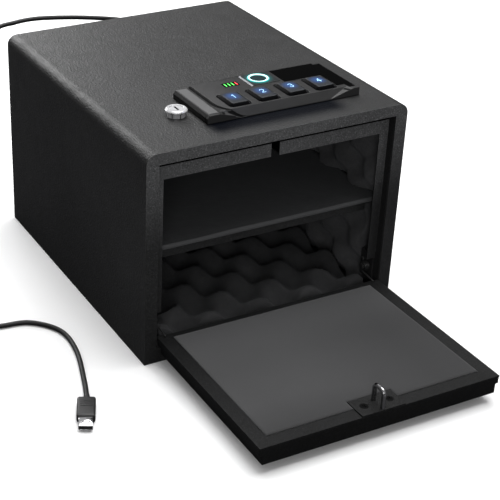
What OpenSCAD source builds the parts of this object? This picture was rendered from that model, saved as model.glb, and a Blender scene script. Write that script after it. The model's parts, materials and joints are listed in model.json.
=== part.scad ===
// Quick-access pistol safe with a drop-down front door, a roof keypad with
// fingerprint reader, a key override and a padded two-level interior.
// Millimetres, +Z up, front towards -Y. The origin is the centre of the four
// fixing holes in the underside. The door is drawn open, lying level.

/* [Cabinet] */
// Outside width of the steel cabinet
body_w = 260; // [256:1:300]
// Outside depth of the steel cabinet
body_d = 312; // [310:1:360]
// Outside height of the steel cabinet
body_h = 205; // [205:1:225]
// Sheet thickness of the cabinet shell
wall = 2; // [1.5:0.25:2]
// Radius of the two long upper edges
edge_r = 10; // [7:1:12]
// Width of the front flange at the sides
flange_side = 12; // [12:0.5:14]
// Height of the front flange above the door
flange_top = 10.8; // [10.8:0.2:13]
// Depth from the front flange to the door stop
recess_d = 9.6; // [9.6:0.2:11]
// Height of the door stop below the flange
stop_top = 19.2; // [18:0.2:19.2]
// Width of the door stop at the sides
stop_side = 9; // [7:0.5:9]

/* [Door] */
// Thickness of the door pan
door_t = 8; // [8:0.1:8]
// Distance the door's outer face stands in front of the flange
door_raise = 8.9; // [8.5:0.1:9.2]
// Clearance around the closed door
door_gap = 0.95; // [0.8:0.05:1.2]
// Thickness of the foam pad on the door
pad_t = 1.4; // [0.8:0.1:1.4]
// Reach of the striker loop from the door's inner face
loop_reach = 19.5; // [19:0.25:20]
// Radius of the striker loop's rod
loop_r = 2; // [1.8:0.1:2]

/* [Hinges] */
// Radius of the hinge pins
pin_r = 1.25; // [1:0.05:1.25]
// Outer radius of the hinge knuckles
knuckle_r = 2.4; // [2.3:0.05:2.4]
// Running clearance between pin and turning knuckle
run_gap = 0.05; // [0.03:0.01:0.08]
// Distance of each hinge from the middle
hinge_x = 94; // [80:1:96]

/* [Keypad] */
// Distance between neighbouring buttons
button_pitch = 29.35; // [28:0.05:30]
// Width of a button
button_w = 20.8; // [18:0.1:21]
// Length of a button, front to back
button_l = 28.5; // [26:0.1:28.5]
// Travel of a button
button_travel = 1; // [0.6:0.1:1]
// Outer radius of the lit ring round the fingerprint window
ring_r = 10.2; // [9:0.1:10.6]

/* [Latch and lock] */
// Swing of the latch hook from released to engaged, degrees
hook_swing = 20; // [18:0.5:20]
// Radius of the key lock's head
lock_head_r = 10; // [9.6:0.1:10.5]
// Length of the cam arm from the lock's axis
cam_len = 36; // [34:0.5:36]

/* [Interior] */
// Thickness of the foam on the walls
foam_wall = 18; // [12:1:18]
// Thickness of the foam on the floor
foam_floor_t = 25; // [16:1:25]
// Height of the shelf's supporting face
shelf_z = 98; // [94:1:98]

/* [Fixing holes] */
// Side-to-side distance of the fixing holes
fix_x = 170; // [150:5:180]
// Front-to-back distance of the floor fixing holes
fix_y = 210; // [180:5:230]
// Height distance of the back fixing holes
fix_z = 80; // [70:5:80]
// Radius of the fixing holes
fix_r = 3.5; // [3:0.25:4]

/* [Hidden] */
$fn = 48;
eps = 0.01;                           // overlap that joins touching shapes
fit = 0.05;                           // gap between fitted parts

// cabinet faces
half_w = body_w / 2;
inner_x = half_w - wall;
front_y = -body_d / 2;
rear_y = body_d / 2;
roof_z = body_h - wall;               // underside of the roof
back_t = 1.6;
back_y = rear_y - 1 - back_t;         // inner face of the back panel

// door opening and the stop behind it
open_x = half_w - flange_side;        // half width
open_bottom_z = 15;
open_top_z = body_h - flange_top;
sheet = 1.2;
stop_x = open_x - stop_side;
stop_y = front_y + recess_d;          // front face of the stop
stop_bottom_z = open_bottom_z + 4;
stop_top_z = open_top_z - stop_top;
frame_back_y = stop_y + sheet;

// hinge axis, along X
hinge_y = front_y;
hinge_z = 17.75;
hinge_half = 14;                      // half length of a hinge
hinge_gap_half = 6;                   // half width of the gap for the door's knuckle
door_knuckle_half = 5.7;

// door, closed
door_x = open_x - door_gap;           // half width
pan_x = door_x - 2.6;                 // half width of the raised outer face
door_bottom_z = 16.5;
pan_bottom_z = hinge_z + 1.25;
door_top_z = open_top_z - door_gap;
door_inner_y = front_y + door_t;

// striker, on the closed door
loop_x = -0.3;
loop_low_z = hinge_z + 160;
loop_high_z = hinge_z + 173;
loop_bend_r = 4;
striker_screw_x = [-12.3, 12.5];
striker_screw_z = hinge_z + 164;

// latch hook, its pivot and the solenoid
hook_z = 182.25;
hook_t = 4;
hook_top_z = hook_z + hook_t;
hook_mid_z = hook_z + hook_t / 2;
hook_front_y = front_y + 13.6;
pivot_x = -1;
pivot_y = front_y + 56.5;
link_reach = 20;                      // from the pivot to the plunger's link pin
plunger_x = pivot_x - link_reach;

// key lock axis
lock_x = -70;
lock_y = front_y + 63;

// interior
cover_z = 174.8;                      // underside of the mechanism cover
cover_back_y = front_y + 180;
cover_x = inner_x - 8;                // half width
foam_x = inner_x - foam_wall;
foam_top_z = wall + foam_floor_t;
foam_back_y = back_y - foam_wall;
shelf_top_z = shelf_z + 6.8;

// keypad on the roof
keypad_z = body_h + 8;
keypad_screw_x = [-44, 86];
keypad_screw_y = front_y + 77;
cable_y = front_y + 70;               // cable pass, in the middle of the width
button_1_x = -16.5;
button_y = front_y + 56.3;
sensor_x = 28.2;
sensor_y = front_y + 89.3;
ring_x = sensor_x - 0.6;

// power inlet in the back panel
socket_x = 25;
socket_z = 184;

// ---------- helpers ----------
function unit(v) = v / norm(v);
function tangent(path, i) = unit(path[min(i + 1, len(path) - 1)] - path[max(i - 1, 0)]);

// normals along a path, each carried on from the one before
function carry_normals(path, i, normal) =
  let (t = tangent(path, i), flat = unit(normal - (normal * t) * t))
  i == len(path) - 1 ? [flat] : concat([flat], carry_normals(path, i + 1, flat));

// point at t = 0..1 between b and c
function spline(a, b, c, d, t) = 0.5 * ((2 * b) + (c - a) * t
  + (2 * a - 5 * b + 4 * c - d) * t * t
  + (3 * b - a - 3 * c + d) * t * t * t);
function smooth(path, steps) = concat(
  [for (i = [0 : len(path) - 2]) for (k = [0 : steps - 1])
    spline(path[max(i - 1, 0)], path[i], path[i + 1],
      path[min(i + 2, len(path) - 1)], k / steps)],
  [path[len(path) - 1]]);

// moves points [x, distance behind the front, ...] to cabinet coordinates
function from_front(points) = [for (p = points) [p[0], front_y + p[1]]];

// closed round tube that follows a list of points
module tube(path, r, n = 8) {
  normals = carry_normals(path, 0, [0.31, 0.42, 0.85]);
  rings = len(path);
  points = [for (i = [0 : rings - 1])
    let (u = normals[i], v = cross(tangent(path, i), u))
    for (k = [0 : n - 1]) path[i] + r * (cos(360 * k / n) * u + sin(360 * k / n) * v)];
  sides = [for (i = [0 : rings - 2]) for (k = [0 : n - 1])
    let (a = i * n + k, b = i * n + (k + 1) % n)
    each [[a, a + n, b], [b, a + n, b + n]]];
  start = [for (k = [0 : n - 1]) k];
  end = [for (k = [n - 1 : -1 : 0]) (rings - 1) * n + k];
  polyhedron(points, concat(sides, [start], [end]), convexity = 6);
}

// block between two opposite corners
module box(low, high) {
  translate(low) cube([high[0] - low[0], high[1] - low[1], high[2] - low[2]]);
}

// cylinders along X, Y and Z
module xcyl(x0, x1, y, z, r) { translate([x0, y, z]) rotate([0, 90, 0]) cylinder(r = r, h = x1 - x0); }
module ycyl(x, y0, y1, z, r) { translate([x, y1, z]) rotate([90, 0, 0]) cylinder(r = r, h = y1 - y0); }
module zcyl(x, y, z0, z1, r) { translate([x, y, z0]) cylinder(r = r, h = z1 - z0); }

// cabinet outline set in by a distance, its two upper long edges round
module cabinet_block(inset, y0, y1, r) {
  x = half_w - inset;
  top = body_h - inset;
  box([-x, y0, inset], [x, y1, top - r]);
  box([-x + r, y0, top - r - eps], [x - r, y1, top]);
  for (s = [-1, 1]) ycyl(s * (x - r), y0, y1, top - r, r);
}

// upright block with four round corners
module pill(x0, x1, y0, y1, z0, z1, r) {
  box([x0 + r, y0, z0], [x1 - r, y1, z1]);
  box([x0, y0 + r, z0], [x1, y1 - r, z1]);
  for (x = [x0 + r, x1 - r]) for (y = [y0 + r, y1 - r]) zcyl(x, y, z0, z1, r);
}

// block along Y with round flanks
module pill_y(x, y0, y1, z, half_x, half_z) {
  box([x - half_x + half_z, y0, z - half_z], [x + half_x - half_z, y1, z + half_z]);
  for (s = [-1, 1]) ycyl(x + s * (half_x - half_z), y0, y1, z, half_z);
}

// right-hand shape and its mirror image on the left
module both_sides() {
  for (s = [-1, 1]) mirror([s < 0 ? 1 : 0, 0, 0]) children();
}

// screw driven upwards, with a cross slot in its lower face
module screw_up(x, y, head_z, seat_z, tip_z, head_r, shank_r, slot) {
  difference() {
    union() {
      zcyl(x, y, head_z, seat_z, head_r);
      zcyl(x, y, seat_z - eps, tip_z, shank_r);
    }
    for (a = [0, 90]) translate([x, y, head_z]) rotate([0, 0, a]) cube(slot, center = true);
  }
}

// door parts are drawn closed, then swung open about the hinge axis
module swing_open() {
  translate([0, hinge_y, hinge_z]) rotate([90, 0, 0]) translate([0, -hinge_y, -hinge_z]) children();
}

// the hook is drawn engaged, then turned to the released rest position
module release() {
  translate([pivot_x, pivot_y, 0]) rotate([0, 0, -hook_swing])
    translate([-pivot_x, -pivot_y, 0]) children();
}

module fix_floor(r, z0, z1) {
  for (x = [-1, 1]) for (y = [-1, 1]) zcyl(x * fix_x / 2, y * fix_y / 2, z0, z1, r);
}
module fix_back(r, y0, y1) {
  for (x = [-1, 1]) for (s = [-1, 1]) ycyl(x * fix_x / 2, y0, y1, 102 + s * fix_z / 2, r);
}

// ---------- cabinet ----------
module outer_shell() {
  color("#1d1e20") difference() {
    cabinet_block(0, front_y, rear_y, edge_r);
    cabinet_block(wall, front_y + wall, rear_y + 1, edge_r - wall);
    box([-open_x, front_y - 1, open_bottom_z], [open_x, front_y + wall + 1, open_top_z]);
    fix_floor(fix_r, -1, wall + 1);
    zcyl(lock_x, lock_y, roof_z - 1, body_h + 1, 8.1);
    // cable pass and fixing holes below the keypad
    zcyl(0, cable_y, roof_z - 1, body_h + 1, 7);
    for (x = keypad_screw_x) zcyl(x, keypad_screw_y, roof_z - 1, body_h + 1, 1.7);
  }
}

module back_panel() {
  inset = wall + fit;
  y0 = back_y - 1;
  y1 = back_y + 3;
  color("#1b1c1e") difference() {
    cabinet_block(inset, back_y - 12, back_y + back_t, edge_r - wall);
    cabinet_block(inset + back_t, back_y - 13, back_y, edge_r - wall - back_t);
    fix_back(fix_r, y0, y1);
    box([socket_x - 6, y0, socket_z - 3.5], [socket_x + 6, y1, socket_z + 3.5]);
    for (s = [-1, 1]) ycyl(socket_x + s * 10, y0, y1, socket_z, 1.3);
  }
}

module door_frame() {
  cut_y = stop_y + 5;
  color("#191a1c") difference() {
    box([-open_x - sheet, front_y + wall, open_bottom_z - sheet],
      [open_x + sheet, frame_back_y, open_top_z + sheet]);
    box([-open_x, front_y, open_bottom_z], [open_x, stop_y, open_top_z]);
    // opening inside the stop, wider near the bottom so the spring legs pass
    box([-stop_x, front_y, stop_bottom_z], [stop_x, cut_y, stop_top_z]);
    box([-open_x, front_y, stop_bottom_z], [open_x, cut_y, 45]);
    // notch for the striker loop
    box([loop_x - 4.3, front_y, stop_top_z - 1], [loop_x + 4.3, cut_y, open_top_z - 0.3]);
  }
}

// ---------- hinges ----------
// cylinder on the hinge axis, centred on x
module hinge_rod(x, half, r) { xcyl(x - half, x + half, hinge_y, hinge_z, r); }

module hinge_frame_leaves() {
  color("#3a3b3e") for (s = [-1, 1]) let (x = s * hinge_x) difference() {
    union() {
      box([x - hinge_half, front_y - 0.6, open_bottom_z + fit],
        [x + hinge_half, front_y + 8, 16.2]);
      hinge_rod(x, hinge_half, knuckle_r);
    }
    hinge_rod(x, hinge_gap_half, knuckle_r + 0.6);
    box([x - hinge_gap_half, front_y - 4, 10], [x + hinge_gap_half, front_y + 3.2, 22]);
    hinge_rod(x, hinge_half + 1, pin_r);
    for (t = [-1, 1]) zcyl(x + t * 9.5, front_y + 5.2, 10, 20, 1.3);
  }
}

module hinge_pins() {
  color("#9b9da0") for (s = [-1, 1]) {
    hinge_rod(s * hinge_x, hinge_half, pin_r);
    // heads at both ends
    for (t = [-1, 1]) hinge_rod(s * hinge_x + t * (hinge_half + 0.35), 0.35, pin_r + 0.6);
  }
}

module hinge_door_leaves() {
  y0 = front_y + 1.25;
  y1 = front_y + knuckle_r;
  color("#3a3b3e") swing_open() for (s = [-1, 1]) let (x = s * hinge_x) difference() {
    union() {
      hinge_rod(x, door_knuckle_half, knuckle_r);
      box([x - door_knuckle_half, y0, hinge_z], [x + door_knuckle_half, y1, 23]);
      box([x - 12, y0, 21.4], [x + 12, y1, 34]);
    }
    hinge_rod(x, hinge_gap_half, pin_r + run_gap);
  }
}

// ---------- door ----------
module hinge_clearance() {
  half = hinge_half + 1.5;
  for (s = [-1, 1]) {
    hinge_rod(s * hinge_x, half, knuckle_r + 0.5);
    box([s * hinge_x - half, front_y - 3, 10],
      [s * hinge_x + half, front_y + knuckle_r + 0.5, hinge_z]);
  }
}

module door_panel() {
  outer_y = front_y - door_raise;
  color("#1d1e20") swing_open() difference() {
    union() {
      box([-door_x, front_y, door_bottom_z], [door_x, door_inner_y - sheet, door_top_z]);
      box([-pan_x, outer_y, pan_bottom_z], [pan_x, front_y + sheet, door_top_z]);
    }
    // hollow inside
    box([-door_x + sheet, front_y + sheet, door_bottom_z + sheet],
      [door_x - sheet, door_inner_y, door_top_z - sheet]);
    box([-pan_x + sheet, outer_y + sheet, pan_bottom_z + sheet],
      [pan_x - sheet, door_inner_y, door_top_z - sheet]);
    hinge_clearance();
  }
}

module door_inner_plate() {
  color("#1b1c1e") swing_open() difference() {
    box([-door_x, door_inner_y - sheet, door_bottom_z], [door_x, door_inner_y, door_top_z]);
    for (x = striker_screw_x) ycyl(x, front_y, front_y + 12, striker_screw_z, 2.3);
  }
}

module door_pad() {
  color("#3b3c3e") swing_open() difference() {
    box([-104, door_inner_y, hinge_z + 5.6], [103.6, door_inner_y + pad_t, hinge_z + 163.2]);
    box([-21.9, front_y, hinge_z + 152.9], [21.3, front_y + 20, hinge_z + 170]);
  }
}

// cone of a countersunk head, wider towards the inside
module striker_cone(x, r1, r2, h) {
  translate([x, door_inner_y - 0.4, striker_screw_z]) rotate([-90, 0, 0])
    cylinder(r1 = r1, r2 = r2, h = h);
}

module striker_plate() {
  color("#232426") swing_open() difference() {
    box([-21.3, door_inner_y, hinge_z + 153.4],
      [20.7, door_inner_y + sheet, door_top_z - 0.1]);
    for (z = [loop_low_z, loop_high_z]) ycyl(loop_x, front_y, front_y + 20, z, loop_r);
    for (x = striker_screw_x) {
      ycyl(x, front_y, front_y + 20, striker_screw_z, 1.7);
      striker_cone(x, 1.7, 3.9, 1.61);
    }
  }
}

module striker_loop() {
  end_y = door_inner_y + loop_reach - loop_r;      // centre line of the loop's end
  bend_y = end_y - loop_bend_r;
  bend_low_z = loop_low_z + loop_bend_r;
  bend_high_z = loop_high_z - loop_bend_r;
  color("#c9cbce") swing_open() union() {
    for (z = [loop_low_z, loop_high_z]) ycyl(loop_x, door_inner_y, bend_y, z, loop_r);
    zcyl(loop_x, end_y, bend_low_z, loop_high_z - loop_bend_r, loop_r);
    // bends: height and start angle
    for (bend = [[bend_low_z, 0], [bend_high_z, 90]])
      translate([loop_x, bend_y, bend[0]]) rotate([0, 90, 0]) rotate([0, 0, bend[1]])
        rotate_extrude(angle = 90) translate([loop_bend_r, 0]) circle(loop_r);
  }
}

module striker_screws() {
  color("#2b2c2e") swing_open() for (x = striker_screw_x) difference() {
    union() {
      ycyl(x, front_y + 3.2, door_inner_y, striker_screw_z, 1.6);
      striker_cone(x, 1.55, 3.75, 1.55);
    }
    for (a = [45, 135]) translate([x, door_inner_y + 0.9, striker_screw_z]) rotate([0, a, 0])
      cube([4.2, 1.4, 0.9], center = true);
  }
}

// ---------- door assist springs ----------
spring_y = front_y + 18;
spring_z = 33;
spring_tab_y = front_y + 28.4;
spring_tab_t = 1.4;

module spring_brackets() {
  y1 = spring_tab_y + spring_tab_t;
  z0 = stop_bottom_z + 0.1;
  color("#8d8f92") both_sides() {
    box([open_x - 1, frame_back_y + fit, z0], [open_x + 0.4, y1, 46]);
    box([open_x - 1, spring_tab_y, z0], [inner_x, y1, 46]);
    // stud that carries the coil
    xcyl(open_x - 8.4, open_x - 1 + eps, spring_y, spring_z, 3);
  }
}

module door_springs() {
  turns = 3.25;
  coil_r = 4.3;
  steps = 52;
  x0 = open_x - 2;
  x1 = open_x - 7.6;
  outer_leg = [[x0, spring_y + 7.5, spring_z + 5.5], [x0, spring_y + 5.4, spring_z + 1.5]];
  coil = [for (i = [0 : steps]) let (a = i / steps * turns * 360)
    [x0 + (x1 - x0) * i / steps, spring_y + coil_r * cos(a), spring_z - coil_r * sin(a)]];
  front_leg = [[x1, spring_y - 6, spring_z - 5.1], [x1, spring_y - 13, spring_z - 5.7],
    [x1, front_y - 2, 26.8]];
  color("#b4b6b9") both_sides() tube(concat(outer_leg, coil, front_leg), 0.8, 6);
}

// ---------- interior ----------
tray_t = 1.5;
tray_front_y = front_y + 22.5;
tray_back_y = foam_back_y - 2;

module shelf_tray() {
  color("#1a1b1d") difference() {
    union() {
      box([-inner_x + 2, tray_front_y, shelf_z], [inner_x - 2, tray_back_y, shelf_z + tray_t]);
      // lips turned down at the front and back
      for (y = [tray_front_y, tray_back_y - tray_t])
        box([-inner_x + 18, y, shelf_z - 6], [inner_x - 18, y + tray_t, shelf_z + 1]);
    }
    for (x = [-60 : 40 : 60]) for (y = [-80 : 50 : 70]) zcyl(x, y, shelf_z - 1, shelf_z + 3, 4);
  }
}

module shelf_pad() {
  color("#303133") box([-inner_x + 3, front_y + 20, shelf_z + tray_t + fit],
    [inner_x - 3, tray_back_y, shelf_top_z]);
}

module shelf_brackets() {
  outer = inner_x - fit;
  y0 = front_y + 34;
  y1 = foam_back_y - 6;
  color("#242527") both_sides() {
    box([outer - 1.5, y0, shelf_z - 14], [outer, y1, shelf_z - fit]);
    box([inner_x - 15, y0, shelf_z - 1.5], [outer, y1, shelf_z - fit]);
  }
}

// levels of the wall foam, below and above the shelf: bottom, top
foam_levels = [[wall + 0.2, shelf_z - 1.8], [shelf_top_z + 0.5, cover_z - 0.5]];

module wall_foam(side) {
  front_offset = [32, 13];
  mirror([side < 0 ? 1 : 0, 0, 0]) difference() {
    for (i = [0, 1])
      box([foam_x, front_y + front_offset[i], foam_levels[i][0]],
        [inner_x - 0.2, foam_back_y - 0.5, foam_levels[i][1]]);
    // room for the shelf bracket
    box([inner_x - 2, front_y + 20, shelf_z - 15], [half_w, foam_back_y, shelf_z + 1]);
  }
}
module foam_left() { color("#232425") wall_foam(-1); }
module foam_right() { color("#232425") wall_foam(1); }

module foam_back() {
  bottoms = [foam_top_z + 0.5, foam_levels[1][0]];
  color("#232425") difference() {
    for (i = [0, 1])
      box([-inner_x + 2, foam_back_y, bottoms[i]],
        [inner_x - 2, back_y - 0.2, foam_levels[i][1]]);
    fix_back(9, foam_back_y - 1, back_y + 1);
  }
}

module foam_floor() {
  color("#232425") difference() {
    box([-foam_x + 0.5, front_y + 13, wall + 0.2], [foam_x - 0.5, back_y - 12.6, foam_top_z]);
    fix_floor(9, 0, foam_top_z + 1);
  }
}

module foam_ceiling() {
  color("#232425") box([-inner_x + 12, cover_back_y + 2, cover_z + 2],
    [inner_x - 12, back_y - 18, roof_z - 1.8]);
}

// ---------- electronics bay ----------
post_places = [for (y = [24, 168]) for (x = [-104, 104]) [x, front_y + y]];
battery_box_x = 34;                   // half length
battery_front_y = front_y + 103;
battery_back_y = front_y + 170;
cell_z = 188.2;
lid_ear_x = battery_box_x - 6;
lid_pivot_y = battery_back_y + 2.2;
lid_pivot_z = 177.9;

module mechanism_cover() {
  y0 = frame_back_y + fit;
  color("#202123") difference() {
    union() {
      box([-cover_x, y0, cover_z], [cover_x, cover_back_y, cover_z + sheet]);
      box([-cover_x, cover_back_y - sheet, cover_z], [cover_x, cover_back_y, roof_z - fit]);
      both_sides() box([cover_x - sheet, y0, cover_z], [cover_x, cover_back_y, cover_z + 14]);
    }
    // slot for the striker loop
    box([loop_x - 5, front_y, cover_z - 1], [loop_x + 5, front_y + 31, cover_z + 3]);
    for (p = post_places) zcyl(p[0], p[1], cover_z - 1, cover_z + 3, 1.9);
    box([-battery_box_x - 1, battery_front_y - 1, cover_z - 1],
      [battery_box_x + 1, battery_back_y + 6.8, cover_z + 3]);
  }
}

module cover_posts() {
  color("#a3a5a8") for (p = post_places) difference() {
    zcyl(p[0], p[1], cover_z + sheet + fit, roof_z - fit, 4);
    zcyl(p[0], p[1], cover_z, cover_z + 12, 1.5);
  }
}

module cover_screws() {
  color("#3a3b3e") for (p = post_places)
    screw_up(p[0], p[1], cover_z - 1.8, cover_z - fit, cover_z + 10,
      head_r = 3.3, shank_r = 1.45, slot = [3.6, 0.9, 1.6]);
}

module battery_box() {
  color("#151617") difference() {
    union() {
      box([-battery_box_x, battery_front_y, 179.4], [battery_box_x, battery_back_y, 199]);
      // feet against the roof
      for (s = [-1, 1]) for (y = [battery_front_y + 8, battery_back_y - 18])
        box([s * battery_box_x - 4, y, 198.9], [s * battery_box_x + 4, y + 10, roof_z - fit]);
      // hinge ears
      for (s = [-1, 1])
        box([s * lid_ear_x - 2, battery_back_y - 1, 175.9],
          [s * lid_ear_x + 2, battery_back_y + 4.4, 184]);
    }
    box([-battery_box_x + 2, battery_front_y + 2, 178],
      [battery_box_x - 2, battery_back_y - 2, 197.4]);
    for (s = [-1, 1])
      xcyl(s * lid_ear_x - 3, s * lid_ear_x + 3, lid_pivot_y, lid_pivot_z, 1.3);
  }
}

// cells lie along X, their button ends (+1 right, -1 left) alternating
function cell_y(i) = battery_front_y + 9.6 + i * 15.93;
function cell_end(i) = i % 2 == 0 ? 1 : -1;

module batteries() {
  half = 24.6;
  color("#3d6b46") for (i = [0 : 3])
    let (y = cell_y(i), near = cell_end(i) * (half - eps), far = cell_end(i) * 26) {
      xcyl(-half, half, y, cell_z, 7.1);
      xcyl(min(near, far), max(near, far), y, cell_z, 2.7);
    }
}

module battery_contacts() {
  steps = 40;
  color("#c8b27a") for (i = [0 : 3]) let (y = cell_y(i), s = cell_end(i)) {
    // plate at both ends
    for (e = [-1, 1]) box([e * 31.6 - 0.3, y - 4.5, 183], [e * 31.6 + 0.3, y + 4.5, 194]);
    // tab at the button end, conical spring at the flat end
    box([s * 28.75 - 2.65, y - 2.4, cell_z - 0.8], [s * 28.75 + 2.65, y + 2.4, cell_z + 1]);
    tube([for (k = [0 : steps]) let (a = k / steps * 3 * 360, r = 2.4 + 2.2 * k / steps)
      [-s * (25.3 + 6.3 * k / steps), y + r * cos(a), cell_z + r * sin(a)]], 0.45, 5);
  }
}

module battery_door() {
  x = battery_box_x;
  y0 = battery_front_y;
  color("#1c1d1f") difference() {
    union() {
      box([-x, y0, cover_z - 0.2], [x, battery_back_y + 3.2, cover_z + 1]);
      box([-x + 8, y0, cover_z + 0.9], [x - 8, y0 + 1.4, cover_z + 3.4]);
      xcyl(-x + 2.6, x - 2.6, lid_pivot_y, lid_pivot_z, 1.25);
      box([-x + 9, lid_pivot_y - 1.2, cover_z], [x - 9, lid_pivot_y + 1, lid_pivot_z]);
    }
    // room for the holder's hinge ears
    for (s = [-1, 1])
      box([s * lid_ear_x - 2.6, lid_pivot_y - 5, cover_z - 1],
        [s * lid_ear_x + 2.6, lid_pivot_y + 5, cover_z + 1.4]);
    // thumb grip
    for (i = [-6 : 3 : 6]) box([i - 0.6, y0 + 6, cover_z - 1], [i + 0.6, y0 + 14, cover_z + 0.2]);
  }
}

// ---------- latch ----------
module latch_base() {
  color("#a9abad") difference() {
    union() {
      box([-36, front_y + 16, 200], [30, front_y + 98, 201.5]);
      for (x = [-33, 27]) for (y = [20, 94]) zcyl(x, front_y + y, 201.4, roof_z - fit, 3.5);
      zcyl(pivot_x, pivot_y, 186.6, 200.1, 4);
    }
    zcyl(pivot_x, pivot_y, 180, 202, 2);
    for (x = [-4, 8]) zcyl(x, front_y + 34, 198, 203.5, 3);
  }
}

module latch_pivot() {
  color("#c4c6c8") union() {
    zcyl(pivot_x, pivot_y, 181.9, 201.9, 2);
    zcyl(pivot_x, pivot_y, 180.6, 182, 4);
  }
}

// block through the hook's thickness, corners measured from the pivot in x
module hook_bar(x0, x1, y0, y1) {
  box([pivot_x + x0, y0, hook_z], [pivot_x + x1, y1, hook_top_z]);
}

module latch_hook() {
  tail = 37;
  cut_z0 = hook_z - 1;
  cut_z1 = hook_top_z + 1;
  slot_x = pivot_x - link_reach;
  color("#b9bbbe") release() difference() {
    union() {
      zcyl(pivot_x, pivot_y, hook_z, hook_top_z, 7);
      // forward arm and finger
      hook_bar(-12, -5, hook_front_y, pivot_y - 2);
      hook_bar(-12, 8, hook_front_y, front_y + 21.4);
      hook_bar(-9, 3, pivot_y - 12, pivot_y);
      // tail that the solenoid pulls and the key cam pushes
      hook_bar(-tail, 0, pivot_y - 3, pivot_y + 3);
      zcyl(pivot_x - tail, pivot_y, hook_z, hook_top_z, 3);
    }
    zcyl(pivot_x, pivot_y, cut_z0, cut_z1, 2 + run_gap);
    // slot for the plunger's link pin
    pill(slot_x - 3, slot_x + 3, pivot_y - 1.75, pivot_y + 1.75, cut_z0, cut_z1, 1.7);
    // bevelled nose
    translate([pivot_x + 8, hook_front_y, cut_z0]) rotate([0, 0, 45]) cube([5, 5, hook_t + 2]);
    // spring hole
    zcyl(pivot_x - 8.6, pivot_y - 22, cut_z0, cut_z1, 1);
  }
}

module latch_spring() {
  coil_r = 5.6;
  steps = 50;
  coil = [for (i = [0 : steps]) let (a = 20 + i / steps * 1140)
    [pivot_x + coil_r * cos(a), pivot_y + coil_r * sin(a), 194 - 5.6 * i / steps]];
  color("#b4b6b9") tube(concat([[pivot_x + 8.2, pivot_y + 2, 192]], coil,
    [[pivot_x - 4, pivot_y + 6.4, 188.1], [pivot_x - 14, pivot_y + 8, 188]]), 0.5, 6);
}

// ---------- solenoid ----------
solenoid_front_y = front_y + 82;
coil_z = hook_z + 5.5;
bore_r = 4.15;

module solenoid_frame() {
  color("#9fa1a4") difference() {
    box([plunger_x - 11, solenoid_front_y, 177.2], [plunger_x + 11, front_y + 101.5, 199.95]);
    box([plunger_x - 12, solenoid_front_y + 1.4, 178.6],
      [plunger_x + 12, front_y + 100.1, 198.5]);
    ycyl(plunger_x, solenoid_front_y - 1, solenoid_front_y + 3, hook_mid_z, bore_r);
  }
}

module solenoid_coil() {
  color("#6e2c1c") difference() {
    union() {
      ycyl(plunger_x, solenoid_front_y + 2.6, front_y + 98.9, coil_z, 8.4);
      for (y = [solenoid_front_y + 1.5, front_y + 98.8]) ycyl(plunger_x, y, y + 1.2, coil_z, 8.9);
    }
    ycyl(plunger_x, solenoid_front_y - 1, front_y + 96, hook_mid_z, bore_r);
  }
}

module solenoid_plunger() {
  // drawn pulled in: its link pin sits where the released tail is
  pin_y = pivot_y + link_reach * tan(hook_swing);
  color("#c2c4c6") union() {
    difference() {
      ycyl(plunger_x, pin_y - 4, pin_y + 26, hook_mid_z, 4);
      box([plunger_x - 5, pin_y - 5, hook_z - 0.3],
        [plunger_x + 5, pin_y + 6.5, hook_top_z + 0.3]);
    }
    zcyl(plunger_x, pin_y, hook_mid_z - 3.8, hook_mid_z + 3.8, 1.5);
  }
}

// ---------- control board ----------
// square parts under the board: x0, y0, x1, y1 (y from the front), bottom z
board_blocks = [[52, 72, 64, 84, 190], [72, 96, 86, 110, 193.5], [90, 126, 102, 142, 189]];
// round parts under the board: x, y from the front, bottom z, radius
board_cans = [[98, 76, 186, 5], [98, 92, 186, 5], [60, 132, 188.5, 6]];

module control_board() {
  posts = [for (x = [48, 106]) for (y = [66, 146]) [x, front_y + y]];
  part_top = 196.05;
  color("#1f5a3a") difference() {
    union() {
      box([44, front_y + 62, 196], [110, front_y + 150, 197.6]);
      for (b = board_blocks)
        box([b[0], front_y + b[1], b[4]], [b[2], front_y + b[3], part_top]);
      for (c = board_cans) zcyl(c[0], front_y + c[1], c[2], part_top, c[3]);
      for (p = posts) zcyl(p[0], p[1], 197.5, roof_z - fit, 2.6);
    }
    for (p = posts) zcyl(p[0], p[1], 195, 202, 1.1);
  }
}

// ---------- key lock ----------
// cylinder on the lock's axis
module lock_rod(z0, z1, r) { zcyl(lock_x, lock_y, z0, z1, r); }

module lock_body() {
  color("#d4d5d6") difference() {
    union() {
      lock_rod(body_h, body_h + 5.2, 8.4);
      lock_rod(body_h + 4.4, body_h + 5.6, lock_head_r - 0.7);
      lock_rod(body_h + 4.9, body_h + 6, lock_head_r);
      translate([lock_x, lock_y, body_h + 6])
        cylinder(r1 = lock_head_r, r2 = lock_head_r - 1.3, h = 1.3);
      // barrel with a flat on each side
      difference() {
        lock_rod(187.2, body_h + 0.1, 8);
        for (s = [-1, 1])
          box([lock_x + s * 10 - 2.3, lock_y - 10, 187],
            [lock_x + s * 10 + 2.3, lock_y + 10, roof_z - 0.2]);
      }
    }
    lock_rod(186, body_h + 8, 6.3);
  }
}

module lock_plug() {
  color("#bfc1c3") difference() {
    union() {
      lock_rod(186.4, body_h + 7, 6.25);
      box([lock_x - 3, lock_y - 3, 184.3], [lock_x + 3, lock_y + 3, 186.5]);
    }
    // keyway and screw hole
    box([lock_x - 0.7, lock_y - 4, body_h - 8], [lock_x + 0.7, lock_y + 4, body_h + 8]);
    lock_rod(183, 192, 1.55);
  }
}

module lock_nut() {
  color("#a8aaac") difference() {
    translate([lock_x, lock_y, roof_z - 4]) cylinder(r = 13, h = 4 - fit, $fn = 6);
    lock_rod(roof_z - 5, roof_z + 1, 8.05);
  }
}

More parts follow.
